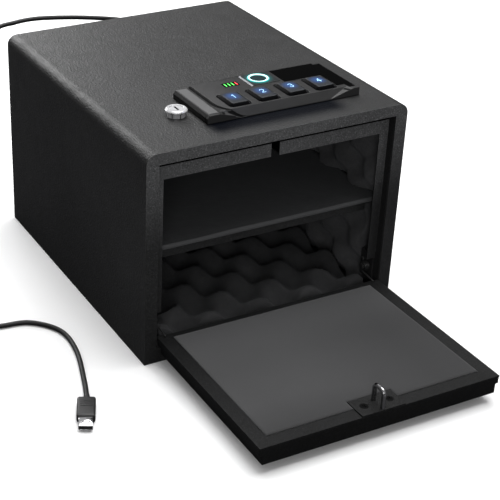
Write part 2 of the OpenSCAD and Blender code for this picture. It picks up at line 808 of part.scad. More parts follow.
module lock_cam() {
  // drawn in the neutral position, pointing to the front
  z0 = hook_mid_z;
  hole = 3 + fit;
  color("#b3b5b7") difference() {
    union() {
      lock_rod(z0, hook_top_z, 7.5);
      box([lock_x - 3, lock_y - cam_len + 2.5, z0], [lock_x + 3, lock_y, hook_top_z]);
      zcyl(lock_x, lock_y - cam_len + 3, z0, hook_top_z, 3);
    }
    box([lock_x - hole, lock_y - hole, hook_z], [lock_x + hole, lock_y + hole, hook_z + 6]);
  }
}

module lock_cam_screw() {
  color("#8f9194") screw_up(lock_x, lock_y, hook_z - 0.4, hook_z + 1.95, 191,
    head_r = 4.6, shank_r = 1.5, slot = [5, 1, 1.8]);
}

// ---------- keypad ----------
// outline of the housing on the roof: x, y from the front
keypad_outline = from_front([[-55, 33.4], [100, 33.4], [100, 96], [92, 101.5],
  [-37, 101.5], [-40.5, 97.5], [-55, 97.5]]);
keypad_wall = 1.8;
// plates let into the top: x0, y0, x1, y1, with y from the front
gloss_seats = [[45.6, 72.6, 91.4, 100.6], [91.2, 37.6, 98, 97], [83.4, 44.8, 91.4, 73]];
gloss_plates = [[45.7, 72.7, 91.3, 100.5], [91.2, 37.7, 97.9, 96.9], [83.5, 44.9, 91.3, 72.8]];
trim_seat = [[-52.1, 37.5, -42.8, 96.2]];
trim_plate = [[-52, 37.6, -42.9, 96.1]];

// groove between the trim strip and the main face
function groove_arc(r, ks) = [for (k = ks) [-14 - r * cos(k * 7.5), 56 - r * sin(k * 7.5)]];
groove_outline = from_front(concat([[-40.2, 110], [-36.4, 110]],
  groove_arc(22.4, [0 : 12]), groove_arc(26.2, [12 : -1 : 0])));

module plates(table, z0, z1) {
  for (p = table) box([p[0], front_y + p[1], z0], [p[2], front_y + p[3], z1]);
}

module slab(outline, z0, z1) {
  translate([0, 0, z0]) linear_extrude(z1 - z0) polygon(outline);
}

// long front slope that runs out into a rising end at each side
module keypad_slope() {
  intersection() {
    translate([-80, front_y + 33, body_h + 0.8]) rotate([49, 0, 0])
      translate([0, -10, 0]) cube([260, 30, 12]);
    translate([67, front_y + 32.5, body_h + 0.4]) rotate([10.64, -15.56, 0])
      translate([-150, -60, 0]) cube([230, 120, 60]);
    translate([-16, front_y + 33, body_h + 0.4]) rotate([7.58, 15.45, 0])
      translate([-90, -60, 0]) cube([250, 120, 60]);
  }
}

module keypad_shape() {
  difference() {
    slab(keypad_outline, body_h, keypad_z);
    // chamfer along the left side
    translate([-55, front_y, body_h + 4.8]) rotate([0, -51, 0])
      translate([-10, 0, 0]) cube([20, 200, 10]);
    keypad_slope();
    // groove in the top, carried on down the slope
    slab(groove_outline, keypad_z - 1, keypad_z + 3);
    intersection() {
      slab(groove_outline, body_h + 1, keypad_z);
      translate([0, 0, -1.05]) keypad_slope();
    }
  }
}

function button_x(i) = button_1_x + i * button_pitch;

// outline of a button, grown all round
module button_block(i, grow, z0, z1) {
  half_x = button_w / 2 + grow;
  half_y = button_l / 2 + grow;
  pill(button_x(i) - half_x, button_x(i) + half_x, button_y - half_y, button_y + half_y,
    z0, z1, 3.2 + grow);
}

// tapped from below
module keypad_screw_hole(x) { zcyl(x, keypad_screw_y, body_h - 1, keypad_z - 1.7, 1.35); }

module keypad_housing() {
  seat_z = keypad_z - 0.8;
  cut_z = keypad_z + 1;
  color("#3c3d40") difference() {
    keypad_shape();
    // hollow underside
    box([-52, front_y + 43, body_h - 1], [97.5, front_y + 95, keypad_z - keypad_wall - 0.5]);
    box([-52, front_y + 39.5, body_h - 1], [97.5, front_y + 96, body_h + 3.5]);
    for (i = [0 : 3]) button_block(i, 0.7, body_h, cut_z);
    plates(gloss_seats, seat_z, cut_z);
    plates(trim_seat, seat_z, cut_z);
    // windows of the fingerprint reader and the status lights
    box([sensor_x - 15.1, sensor_y - 13.1, keypad_z - 4],
      [sensor_x + 15.1, sensor_y + 12.1, cut_z]);
    box([-9.65, front_y + 83.65, keypad_z - 4], [6.05, front_y + 92.15, cut_z]);
    for (x = keypad_screw_x) keypad_screw_hole(x);
  }
  // screw bosses
  color("#3c3d40") for (x = keypad_screw_x) difference() {
    zcyl(x, keypad_screw_y, body_h + fit, keypad_z - keypad_wall - 0.4, 3);
    keypad_screw_hole(x);
  }
}

module keypad_trim() {
  color("#8b8d90") plates(trim_plate, keypad_z - 0.75, keypad_z + 0.15);
}

module keypad_gloss() {
  color("#08090a") plates(gloss_plates, keypad_z - 0.75, keypad_z + 0.1);
}

module status_lights() {
  color("#0b0c0d")
    box([-9.6, front_y + 83.7, keypad_z - 2.9], [6, front_y + 92.1, keypad_z - 0.2]);
  for (i = [0 : 3]) let (x = -8.2 + i * 3.7) color(i < 3 ? "#2fd24a" : "#d8262c")
    box([x, front_y + 84.8, keypad_z - 0.3], [x + 1.7, front_y + 91, keypad_z + 0.1]);
}

module sensor_bezel() {
  color("#101214") difference() {
    box([sensor_x - 15, sensor_y - 13, keypad_z - 3.6],
      [sensor_x + 15, sensor_y + 12, keypad_z + 0.4]);
    zcyl(ring_x, sensor_y, keypad_z - 4, keypad_z + 2, ring_r + 0.1);
    // sloped finger guide on the left
    translate([sensor_x - 15.2, sensor_y - 20, keypad_z - 1.1]) rotate([0, -36, 0])
      cube([6, 40, 4]);
  }
}

module sensor_ring() {
  color("#9ff3ff") difference() {
    zcyl(ring_x, sensor_y, keypad_z - 2.6, keypad_z + 0.9, ring_r);
    zcyl(ring_x, sensor_y, keypad_z - 3, keypad_z + 2, 7.8);
  }
}

module sensor_window() {
  color("#20262b") zcyl(ring_x, sensor_y, keypad_z - 2.6, keypad_z + 0.3, 7.75);
}

module keypad_board() {
  color("#1f5a3a") difference() {
    box([-40, front_y + 40.5, body_h + 0.6], [82, front_y + 94.5, body_h + 2]);
    zcyl(0, cable_y, body_h, body_h + 3, 6);
  }
}

module button_mat() {
  color("#55585c") for (i = [0 : 3]) let (x = button_x(i))
    pill(x - 12.4, x + 12.4, button_y - 14.2, button_y + 15.4,
      body_h + 2 + fit, body_h + 2.9, 2);
}

module button(i) {
  x = button_x(i);
  half_x = button_w / 2;
  half_y = button_l / 2;
  z0 = body_h + 4.1;
  z1 = keypad_z + 2.4;
  color("#2e3033") union() {
    difference() {
      button_block(i, 0, z0, z1);
      // chamfers round the top
      for (s = [-1, 1]) {
        translate([x + s * half_x, button_y, z1]) rotate([0, 45, 0])
          cube([3, 60, 3], center = true);
        translate([x, button_y + s * half_y, z1]) rotate([45, 0, 0])
          cube([60, 3, 3], center = true);
      }
    }
    // retaining rim below the housing's face
    pill(x - half_x - 1.2, x + half_x + 1.2, button_y - half_y + 1.6, button_y + half_y + 1,
      z0, body_h + 5.2, 2);
  }
}
module button_1() { button(0); }
module button_2() { button(1); }
module button_3() { button(2); }
module button_4() { button(3); }

module keypad_screws() {
  color("#3a3b3e") for (x = keypad_screw_x)
    screw_up(x, keypad_screw_y, roof_z - 1.6, roof_z - fit, body_h + 5,
      head_r = 2.9, shank_r = 1.3, slot = [3.2, 0.8, 1.4]);
}

// ---------- power ----------
module power_socket() {
  color("#0f1011") difference() {
    union() {
      box([socket_x - 5.9, back_y - 9, socket_z - 3.4],
        [socket_x + 5.9, back_y + 2.2, socket_z + 3.4]);
      box([socket_x - 13, back_y - 1.5, socket_z - 4.4],
        [socket_x + 13, back_y - fit, socket_z + 4.4]);
    }
    box([socket_x - 4.5, back_y - 7, socket_z - 1.35],
      [socket_x + 4.5, back_y + 4, socket_z + 1.35]);
    for (s = [-1, 1]) ycyl(socket_x + s * 10, back_y - 3, back_y + 3, socket_z, 1.1);
  }
}

lead_r = 2.25;
ground_z = lead_r + 0.2;              // centre of the lead where it lies on the ground
// lead from the safe's plug to the USB plug: x, y from the rear, z
lead_stations = [
  [socket_x, 23, socket_z], [socket_x, 25.5, socket_z],
  [socket_x - 4, 29.5, socket_z + 1.2], [socket_x - 14, 32, socket_z + 6],
  [-20, 33, 196.5], [-53, 33, 202], [-87, 33, 205.6], [-110, 33, 204.7], [-130, 32, 201.5],
  [-162, 26, 184], [-198, 8, 128], [-228, -30, 56], [-252, -84, 12],
  [-265, -130, ground_z], [-263, -170, ground_z], [-246, -194, ground_z],
  [-223, -200, ground_z], [-196, -206, ground_z], [-176, -231, ground_z],
  [-173, -269, ground_z], [-186, -315, ground_z], [-197.5, -338, 3.6]];

module power_lead() {
  path = smooth([for (p = lead_stations) [p[0], rear_y + p[1], p[2]]], 5);
  color("#2a2b2c") tube(path, lead_r, 8);
}

module lead_plug_safe() {
  color("#242526") union() {
    box([socket_x - 4.1, back_y + 0.3, socket_z - 1.2],
      [socket_x + 4.1, back_y + 6, socket_z + 1.2]);
    pill_y(socket_x, rear_y + 2.5, rear_y + 19, socket_z, 5.4, 3.2);
    ycyl(socket_x, rear_y + 18.9, rear_y + 22.4, socket_z, 3);
  }
}

module lead_plug_usb() {
  // lies on the ground, pointing away from the cabinet towards the front
  translate([-198.1, rear_y - 339.2, 0]) rotate([0, 0, -25.5]) translate([0, 0, 4.3]) {
    color("#2a2b2c") union() {
      ycyl(0, -3.5, 0, 0, 2.9);
      box([-8, -31, -4.2], [8, -3.4, 4.2]);
    }
    color("#b9bbbe") difference() {
      box([-6, -43, -2.25], [6, -30.9, 2.25]);
      box([-5.6, -44, 0], [5.6, -33, 1.85]);
    }
  }
}

outer_shell();
back_panel();
door_frame();
hinge_frame_leaves();
hinge_pins();
spring_brackets();
door_springs();
door_panel();
door_inner_plate();
hinge_door_leaves();
door_pad();
striker_plate();
striker_loop();
striker_screws();
shelf_tray();
shelf_pad();
shelf_brackets();
foam_left();
foam_right();
foam_back();
foam_floor();
foam_ceiling();
mechanism_cover();
cover_posts();
cover_screws();
battery_box();
battery_contacts();
batteries();
battery_door();
latch_base();
latch_pivot();
latch_hook();
latch_spring();
solenoid_frame();
solenoid_coil();
solenoid_plunger();
control_board();
lock_body();
lock_plug();
lock_nut();
lock_cam();
lock_cam_screw();
keypad_housing();
keypad_trim();
keypad_gloss();
status_lights();
sensor_bezel();
sensor_ring();
sensor_window();
keypad_board();
button_mat();
button_1();
button_2();
button_3();
button_4();
keypad_screws();
power_socket();
power_lead();
lead_plug_safe();
lead_plug_usb();
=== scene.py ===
import json
import math

import bmesh
import bpy
from mathutils import Matrix, Vector, noise

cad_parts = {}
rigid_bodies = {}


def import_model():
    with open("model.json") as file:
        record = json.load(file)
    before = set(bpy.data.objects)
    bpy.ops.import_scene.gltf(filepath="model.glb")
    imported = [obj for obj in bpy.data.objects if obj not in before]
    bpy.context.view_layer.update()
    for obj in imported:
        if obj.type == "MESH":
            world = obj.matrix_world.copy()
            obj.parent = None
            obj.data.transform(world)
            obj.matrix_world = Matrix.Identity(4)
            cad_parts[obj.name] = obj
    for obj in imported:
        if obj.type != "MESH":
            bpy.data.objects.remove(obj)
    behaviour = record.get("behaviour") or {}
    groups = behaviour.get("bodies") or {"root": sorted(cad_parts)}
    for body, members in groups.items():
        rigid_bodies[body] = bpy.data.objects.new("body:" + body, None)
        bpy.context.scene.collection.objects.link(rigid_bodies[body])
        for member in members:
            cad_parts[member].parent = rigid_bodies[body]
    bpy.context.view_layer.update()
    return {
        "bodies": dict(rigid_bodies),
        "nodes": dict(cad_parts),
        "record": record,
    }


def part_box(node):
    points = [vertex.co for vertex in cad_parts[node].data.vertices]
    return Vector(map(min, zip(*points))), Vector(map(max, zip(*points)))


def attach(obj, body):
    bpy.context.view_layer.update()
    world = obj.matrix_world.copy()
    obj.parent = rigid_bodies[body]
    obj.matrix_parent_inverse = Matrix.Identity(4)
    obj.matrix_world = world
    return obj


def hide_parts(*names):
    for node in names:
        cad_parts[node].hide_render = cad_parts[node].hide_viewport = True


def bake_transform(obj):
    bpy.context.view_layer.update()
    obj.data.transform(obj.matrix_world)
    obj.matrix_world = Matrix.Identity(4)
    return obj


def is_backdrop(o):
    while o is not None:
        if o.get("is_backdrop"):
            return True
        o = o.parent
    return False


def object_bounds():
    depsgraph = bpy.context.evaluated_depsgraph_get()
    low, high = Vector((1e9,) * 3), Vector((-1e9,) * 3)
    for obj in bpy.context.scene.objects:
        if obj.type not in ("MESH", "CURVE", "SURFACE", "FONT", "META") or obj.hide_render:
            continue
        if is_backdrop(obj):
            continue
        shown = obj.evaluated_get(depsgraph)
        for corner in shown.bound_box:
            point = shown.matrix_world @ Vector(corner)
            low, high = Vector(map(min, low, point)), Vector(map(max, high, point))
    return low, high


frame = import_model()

NODES = frame["nodes"]
BODIES = frame["bodies"]
MM = 0.001


def clamp(x, a=0.0, b=1.0):
    return max(a, min(b, x))


def step(x, a, b):
    t = clamp((x - a) / (b - a))
    return t * t * (3 - 2 * t)


# ------------------------------------------------------------------ shader kit
class Shader:
    """One procedural material. Coordinates are metres in the row frame."""

    def __init__(self, name, edge=0.0006):
        self.m = bpy.data.materials.new(name)
        self.m.use_nodes = True
        self.t = self.m.node_tree
        self.t.nodes.clear()
        self.out = self.add("ShaderNodeOutputMaterial")
        self.p = self.add("ShaderNodeBsdfPrincipled")
        self.link(self.p.outputs[0], self.out.inputs[0])
        self.tc = self.add("ShaderNodeTexCoord")
        self.obj = self.tc.outputs["Object"]
        self.gen = self.tc.outputs["Generated"]
        self.normal = None
        self.edge_r = edge
        if edge:
            b = self.add("ShaderNodeBevel")
            b.samples = 4
            b.inputs["Radius"].default_value = edge
            self.normal = b.outputs[0]

    def add(self, kind, **attrs):
        n = self.t.nodes.new(kind)
        for k, v in attrs.items():
            setattr(n, k, v)
        return n

    def link(self, a, b):
        self.t.links.new(a, b)

    def put(self, sock, v):
        if isinstance(v, bpy.types.NodeSocket):
            self.link(v, sock)
        elif isinstance(v, (tuple, list)) and sock.type == "RGBA" and len(v) == 3:
            sock.default_value = (*v, 1.0)
        else:
            sock.default_value = v

    def set(self, **vals):
        names = {"color": "Base Color", "rough": "Roughness", "metal": "Metallic", "spec": "Specular IOR Level",
                 "sheen": "Sheen Weight", "sheen_rough": "Sheen Roughness", "coat": "Coat Weight", "coat_rough": "Coat Roughness",
                 "emit": "Emission Color", "emit_power": "Emission Strength", "aniso": "Anisotropic", "normal": "Normal",
                 "trans": "Transmission Weight", "ior": "IOR", "subsurf": "Subsurface Weight", "sheen_tint": "Sheen Tint",
                 "coat_normal": "Coat Normal", "spec_tint": "Specular Tint", "subsurf_scale": "Subsurface Scale", "aniso_rot": "Anisotropic Rotation"}
        for k, v in vals.items():
            self.put(self.p.inputs[names[k]], v)
        return self

    def vec(self, scale=(1, 1, 1), loc=(0, 0, 0), rot=(0, 0, 0), src=None):
        n = self.add("ShaderNodeMapping")
        self.link(src or self.obj, n.inputs["Vector"])
        n.inputs["Scale"].default_value = scale
        n.inputs["Location"].default_value = loc
        n.inputs["Rotation"].default_value = rot
        return n.outputs[0]

    def noise(self, scale, detail=2.0, rough=0.5, src=None, distort=0.0):
        n = self.add("ShaderNodeTexNoise")
        self.link(src or self.obj, n.inputs["Vector"])
        n.inputs["Scale"].default_value = scale
        n.inputs["Detail"].default_value = detail
        n.inputs["Roughness"].default_value = rough
        n.inputs["Distortion"].default_value = distort
        return n.outputs[0]

    def voronoi(self, scale, src=None, feature="F1", out="Distance", rand=1.0):
        n = self.add("ShaderNodeTexVoronoi", feature=feature)
        self.link(src or self.obj, n.inputs["Vector"])
        n.inputs["Scale"].default_value = scale
        n.inputs["Randomness"].default_value = rand
        return n.outputs[out]

    def wave(self, scale, axis="X", src=None, distort=0.0, detail=0.0, kind="BANDS", profile="SIN"):
        n = self.add("ShaderNodeTexWave", wave_type=kind, wave_profile=profile)
        if kind == "BANDS":
            n.bands_direction = axis
        else:
            n.rings_direction = axis
        self.link(src or self.obj, n.inputs["Vector"])
        n.inputs["Scale"].default_value = scale
        n.inputs["Distortion"].default_value = distort
        n.inputs["Detail"].default_value = detail
        return n.outputs["Fac"]

    def math(self, op, a, b=0.0, c=None, clamp_it=False):
        n = self.add("ShaderNodeMath", operation=op, use_clamp=clamp_it)
        self.put(n.inputs[0], a)
        self.put(n.inputs[1], b)
        if c is not None:
            self.put(n.inputs[2], c)
        return n.outputs[0]

    def remap(self, v, a, b, c=0.0, d=1.0, smooth=False):
        n = self.add("ShaderNodeMapRange", clamp=True)
        if smooth:
            n.interpolation_type = "SMOOTHSTEP"
        self.put(n.inputs["Value"], v)
        for k, x in zip(("From Min", "From Max", "To Min", "To Max"), (a, b, c, d)):
            self.put(n.inputs[k], x)
        return n.outputs[0]

    def mix(self, f, a, b, kind="MIX"):
        n = self.add("ShaderNodeMix", data_type="RGBA", blend_type=kind)
        self.put(n.inputs[0], f)
        self.put(n.inputs[6], a)
        self.put(n.inputs[7], b)
        return n.outputs[2]

    def axis(self, k, src=None):
        n = self.add("ShaderNodeSeparateXYZ")
        self.link(src or self.obj, n.inputs[0])
        return n.outputs[k]

    def bump(self, h, strength=0.3, dist=0.0003, normal=None):
        n = self.add("ShaderNodeBump")
        self.put(n.inputs["Height"], h)
        n.inputs["Strength"].default_value = strength
        n.inputs["Distance"].default_value = dist
        nn = normal or self.normal
        if nn is not None:
            self.link(nn, n.inputs["Normal"])
        self.normal = n.outputs[0]
        return self.normal

    def edges(self, r=0.0012, lo=0.02, hi=0.25, breakup=260.0):
        """1 on sharp edges, broken up by noise: where a finish wears; pad() also uses it for a painted highlight on its
        cut edges.
        """
        b = self.add("ShaderNodeBevel")
        b.samples = 4
        b.inputs["Radius"].default_value = r
        g = self.add("ShaderNodeNewGeometry")
        d = self.add("ShaderNodeVectorMath", operation="DOT_PRODUCT")
        self.link(b.outputs[0], d.inputs[0])
        self.link(g.outputs["Normal"], d.inputs[1])
        off = self.math("SUBTRACT", 1.0, d.outputs["Value"])
        k = self.math("MULTIPLY", off, self.remap(self.noise(breakup, 3), 0.3, 0.65, 0.2, 1.0))
        return self.remap(k, lo, hi)

    def done(self):
        if self.normal is not None:
            self.link(self.normal, self.p.inputs["Normal"])
        return self.m


def grey(v, tint=(1, 1, 1.02)):
    return (v * tint[0], v * tint[1], v * tint[2])


def powder(name, base=0.0115, rough=0.45, grain=0.55, spec=0.36, tint=(1, 1.01, 1.03), wear=0.03, scale=520.0, kind=""):
    """Textured black powder coat: fine bumps, lighter flecks and edges rubbed a little lighter. kind adds painted light
    and shade by face and place.
    """
    s = Shader(name, 0.0007)
    cloud = s.noise(9, 3, 0.55)
    fleck = s.noise(1150, 1, 0.5)
    speck = s.noise(760, 2, 0.6)
    col = s.mix(s.remap(cloud, 0.35, 0.65), grey(base * 0.84, tint), grey(base * 1.18, tint))
    col = s.mix(s.remap(fleck, 0.56, 0.72, 0.0, 0.6), col, grey(base * 3.4, tint))
    col = s.mix(s.remap(speck, 0.50, 0.66, 0.0, 0.6), col, grey(base * 0.35, tint))
    col = s.mix(s.math("MULTIPLY", s.edges(0.0010, 0.03, 0.3), 0.8), col, grey(base + wear, tint))
    if kind:
        geo = s.add("ShaderNodeNewGeometry")
        nx, ny, nz = (s.axis(k, geo.outputs["Normal"]) for k in range(3))
        face = s.remap(ny, -0.6, -0.9, 0.0, 1.0)
        if kind == "shell":
            # painted light: faces turned to the front are painted brighter the higher they sit on the flange, and the
            # left side is painted lighter towards the front
            painted_lighting = s.math("MULTIPLY", face, s.remap(s.axis(2), 0.110, 0.195, 0.6, 6.4, smooth=True))
            side = s.math("MULTIPLY", s.remap(nx, -0.6, -0.9, 0.0, 1.0), s.remap(s.axis(1), 0.03, -0.13, 0.0, 0.9, smooth=True))
            side = s.math("MULTIPLY", side, s.remap(s.axis(2), 0.200, 0.150, 0.0, 1.0))
            painted_lighting = s.math("ADD", painted_lighting, side)
        elif kind == "door":
            # painted shade darkens the door's front edge face; painted light brightens its outer face
            own = s.add("ShaderNodeTexCoord").outputs["Normal"]
            painted_lighting = s.math("MULTIPLY", s.remap(s.axis(1), -0.3300, -0.3308, 0.0, 1.0), -0.12)
            painted_lighting = s.math("ADD", painted_lighting, s.remap(s.axis(2, own), -0.80, -0.97, 0.0, 1.7))
        else:
            # painted light: faces turned to the front are painted brighter the higher they sit
            painted_lighting = s.math("MULTIPLY", face, s.remap(s.axis(2), 0.090, 0.180, 0.5, 7.6, smooth=True))
        lift = s.add("ShaderNodeVectorMath")
        lift.operation = "SCALE"
        s.link(col, lift.inputs[0])
        s.link(s.math("ADD", painted_lighting, 1.0), lift.inputs["Scale"])
        col = lift.outputs[0]
        if kind == "shell":
            # where the pad's front shades the roof
            ax = s.math("MULTIPLY", s.remap(s.axis(0), -0.066, -0.048, 0.0, 1.0, smooth=True), s.remap(s.axis(0), 0.066, 0.084, 1.0, 0.0, smooth=True))
            ay = s.math("MULTIPLY", s.remap(s.axis(1), -0.1195, -0.1225, 0.0, 1.0), s.remap(s.axis(1), -0.1530, -0.1330, 0.0, 1.0, smooth=True))
            shade = s.math("MULTIPLY", s.math("MULTIPLY", ax, ay), s.remap(nz, 0.8, 0.95, 0.0, 1.0))
            col = s.mix(shade, col, (0.0016, 0.0022, 0.0042))
        elif kind == "door":
            shade = s.math("MAXIMUM", s.math("MULTIPLY", painted_lighting, -1.0), 0.0)
        else:
            # the shadow line where the flange ends
            line = s.math("MULTIPLY", face, s.math("MULTIPLY", s.remap(s.axis(2), 0.18720, 0.18780, 0.0, 1.0), s.remap(s.axis(2), 0.19500, 0.19520, 1.0, 0.0)))
            col = s.mix(line, col, (0.0012, 0.0012, 0.0012))
            shade = s.math("MULTIPLY", line, 1.0)
    r = s.math("ADD", s.remap(s.noise(60, 3), 0.3, 0.7, rough - 0.05, rough + 0.05), s.remap(fleck, 0.4, 0.7, 0, 0.06))
    h = s.math("ADD", s.noise(scale, 3, 0.6), s.math("MULTIPLY", s.voronoi(scale * 1.5, feature="SMOOTH_F1"), 0.5))
    s.bump(h, grain, 0.0008)
    s.set(color=col, rough=r, spec=s.remap(shade, 0.0, 1.0, spec, spec * 0.12) if kind else spec)
    return s.done()


def foam(name, base=0.02, cells=1250.0, bump=0.8, sheen=0.35, tint=(1, 1, 1.03), variation=0.25, spec=0.12, front=None):
    s = Shader(name, 0.0)
    cloud = s.noise(38, 3, 0.6)
    pores = s.voronoi(cells)
    col = s.mix(s.remap(cloud, 0.3, 0.7), grey(base * (1 - variation), tint), grey(base * (1 + variation), tint))
    col = s.mix(s.remap(pores, 0.0, 0.55), s.mix(0.5, col, (0, 0, 0)), col)
    if front is not None:
        # painted light: the front edge is painted paler where it catches the light
        col = s.mix(s.remap(s.axis(1), front, front + 0.0012, 0.85, 0.0, smooth=True), col, grey(base * 6.0, tint))
    s.bump(s.math("ADD", pores, s.math("MULTIPLY", s.noise(cells * 0.4, 2), 0.6)), bump, 0.0006)
    s.set(color=col, rough=0.96, spec=spec, sheen=sheen, sheen_rough=0.55, sheen_tint=(0.75, 0.77, 0.8))
    return s.done()


def pad(name, base=0.052):
    s = Shader(name, 0.0005)
    cloud = s.noise(14, 4, 0.6)
    grain = s.noise(2600, 2, 0.6)
    scuff = s.noise(30, 5, 0.7, src=s.vec((1, 6, 1), rot=(0, 0, 0.4)))
    col = s.mix(s.remap(cloud, 0.3, 0.7), grey(base * 0.95), grey(base * 1.05))
    col = s.mix(s.remap(grain, 0.35, 0.7, 0, 0.5), col, grey(base * 0.72))
    col = s.mix(s.remap(scuff, 0.62, 0.8, 0, 0.35), col, grey(base * 1.3))
    # painted shade: darker towards the right and the front
    shade_right_front = s.math("MAXIMUM", s.remap(s.axis(0), -0.03, 0.07, 0.0, 1.0), s.remap(s.axis(1), -0.280, -0.320, 0.0, 0.9))
    col = s.mix(shade_right_front, col, grey(base * 0.36))
    # painted light: lighter towards the rear, by the opening
    col = s.mix(s.remap(s.axis(1), -0.235, -0.165, 0.0, 0.55, smooth=True), col, grey(base * 1.9))
    # painted highlight along the cut edges
    col = s.mix(s.math("MULTIPLY", s.edges(0.0009, 0.02, 0.2, 900), 0.8), col, grey(base * 1.9))
    s.bump(s.math("ADD", grain, s.math("MULTIPLY", s.voronoi(1700), 0.5)), 0.35, 0.0003)
    s.set(color=col, rough=0.93, spec=0.18, sheen=0.3, sheen_rough=0.6, sheen_tint=(0.8, 0.8, 0.82))
    return s.done()


def metal(name, base=0.5, rough=0.3, brush="X", wear=0.0, tint=(1, 1, 1.02), lines=0.25, blotch=0.1, edge=0.0004, dirt=0.25):
    s = Shader(name, edge)
    st = {"X": (1, 40, 40), "Y": (40, 1, 40), "Z": (40, 40, 1), "O": (9, 9, 9)}[brush]
    line = s.noise(60, 4, 0.7, src=s.vec(st))
    cloud = s.noise(120, 4, 0.6)
    col = s.mix(s.remap(cloud, 0.3, 0.7), grey(base * (1 - blotch), tint), grey(base * (1 + blotch), tint))
    col = s.mix(s.remap(line, 0.35, 0.7, 0, 0.35), col, grey(base * 0.75, tint))
    spots = s.remap(s.noise(420, 3), 0.6, 0.75, 0, dirt)
    col = s.mix(spots, col, (base * 0.3, base * 0.27, base * 0.22))
    r = s.math("ADD", s.remap(line, 0.3, 0.7, rough * 0.8, rough * 1.25), s.math("MULTIPLY", spots, 0.3))
    s.bump(line, lines, 0.00008)
    s.set(color=col, rough=r, metal=1.0)
    return s.done()


def oxide(name, base=0.02, rough=0.4, wear=0.22, grain=900.0, scuff=0.0):
    """Blackened steel whose edges show the metal."""
    s = Shader(name, 0.0005)
    e = s.edges(0.0008, 0.05, 0.4, 700)
    cloud = s.noise(90, 4, 0.6)
    col = s.mix(s.remap(cloud, 0.3, 0.7), grey(base * 0.8), grey(base * 1.25))
    col = s.mix(s.math("MULTIPLY", e, 0.55), col, grey(wear))
    s.bump(s.noise(grain, 3, 0.6), 0.22, 0.0002)
    s.set(color=col, rough=s.remap(cloud, 0.3, 0.7, rough - 0.07, rough + 0.07), metal=s.math("MULTIPLY", e, 0.6), spec=0.5)
    return s.done()


def plastic(name, base=0.02, rough=0.42, grain=1500.0, bump=0.12, tint=(1, 1, 1.03), spec=0.45, coat=0.0, edge=0.0005, wear=0.5):
    s = Shader(name, edge)
    cloud = s.noise(35, 3, 0.6)
    fine = s.noise(grain, 2, 0.55)
    col = s.mix(s.remap(cloud, 0.3, 0.7), grey(base * 0.93, tint), grey(base * 1.07, tint))
    col = s.mix(s.remap(fine, 0.5, 0.75, 0, 0.25), col, grey(base * 1.35, tint))
    col = s.mix(s.math("MULTIPLY", s.edges(0.0007, 0.04, 0.4, 600), wear), col, grey(base * 1.9 + 0.01, tint))
    s.bump(fine, bump, 0.00025)
    s.set(color=col, rough=s.remap(s.noise(140, 3), 0.3, 0.7, rough - 0.04, rough + 0.05), spec=spec, coat=coat, coat_rough=0.15)
    return s.done()


def housing_plastic(name, base=0.0135, rough=0.40):
    """Satin housing with painted shade in the channel beside the trim strip, on the lower lip and on the outer walls,
    and painted light on the left of the top face and on faces turned to the front.
    """
    s = Shader(name, 0.0005)
    geo = s.add("ShaderNodeNewGeometry")
    nx, nz = s.axis(0, geo.outputs["True Normal"]), s.axis(2, geo.outputs["True Normal"])
    y, z = s.axis(1), s.axis(2)
    # painted shade: the groove floor, the lower lip below the slope's plane and the left outer wall
    floor_ = s.math("MULTIPLY", s.math("MULTIPLY", s.remap(z, 0.2114, 0.2116), s.remap(z, 0.2122, 0.2124, 1.0, 0.0)), s.remap(nz, 0.8, 0.9))
    f = s.math("SUBTRACT", z, s.math("ADD", 0.2058, s.math("MULTIPLY", s.math("ADD", y, 0.123), 1.1504)))
    low = s.math("MULTIPLY", s.remap(f, -0.0007, -0.0004, 1.0, 0.0), s.remap(y, -0.1172, -0.1168, 1.0, 0.0))
    wall = s.math("MULTIPLY", s.remap(nx, -0.5, -0.8, 0.0, 0.8), s.remap(z, 0.2123, 0.2126, 1.0, 0.0))
    dark = s.math("MAXIMUM", s.math("MAXIMUM", floor_, low), wall)
    cloud = s.noise(35, 3, 0.6)
    fine = s.noise(1900, 2, 0.55)
    col = s.mix(s.remap(cloud, 0.3, 0.7), grey(base * 0.92), grey(base * 1.08))
    col = s.mix(s.remap(fine, 0.5, 0.75, 0, 0.3), col, grey(base * 1.6))
    col = s.mix(s.math("MULTIPLY", s.edges(0.0007, 0.04, 0.4, 600), 0.5), col, grey(0.045))
    ny = s.axis(1, geo.outputs["True Normal"])
    slope = s.math("MULTIPLY", s.remap(ny, -0.5, -0.6, 0.0, 1.0), s.remap(ny, -0.86, -0.92, 1.0, 0.0))
    # painted shade in the channel beside the trim strip
    cheek = s.math("MULTIPLY", s.math("MULTIPLY", s.remap(s.axis(0), -0.0405, -0.0398, 1.0, 0.0), s.remap(s.axis(0), -0.0480, -0.0465, 0.0, 1.0)), s.remap(nz, 0.8, 0.9))
    col = s.mix(s.math("MULTIPLY", cheek, 0.45), col, grey(0.002))
    # painted light: the left of the top face painted paler, fading to the right
    pale = s.math("MULTIPLY", s.remap(s.axis(0), -0.036, 0.004, 1.0, 0.0, smooth=True), s.remap(nz, 0.8, 0.95))
    pale = s.math("MULTIPLY", pale, s.remap(s.axis(0), -0.0380, -0.0365, 0.0, 1.0))
    col = s.mix(s.math("MULTIPLY", pale, 0.8), col, grey(0.032))
    # painted light: faces turned to the front painted paler
    front = s.remap(ny, -0.93, -0.98, 0.0, 1.0)
    col = s.mix(s.math("MULTIPLY", front, 0.8), col, grey(0.030))
    col = s.mix(s.math("MULTIPLY", dark, 0.80), col, grey(0.002))
    s.bump(fine, 0.12, 0.00025)
    s.set(color=col, rough=s.remap(s.noise(140, 3), 0.3, 0.7, rough - 0.04, rough + 0.05), spec=s.remap(dark, 0, 1, 0.30, 0.02))
    return s.done()


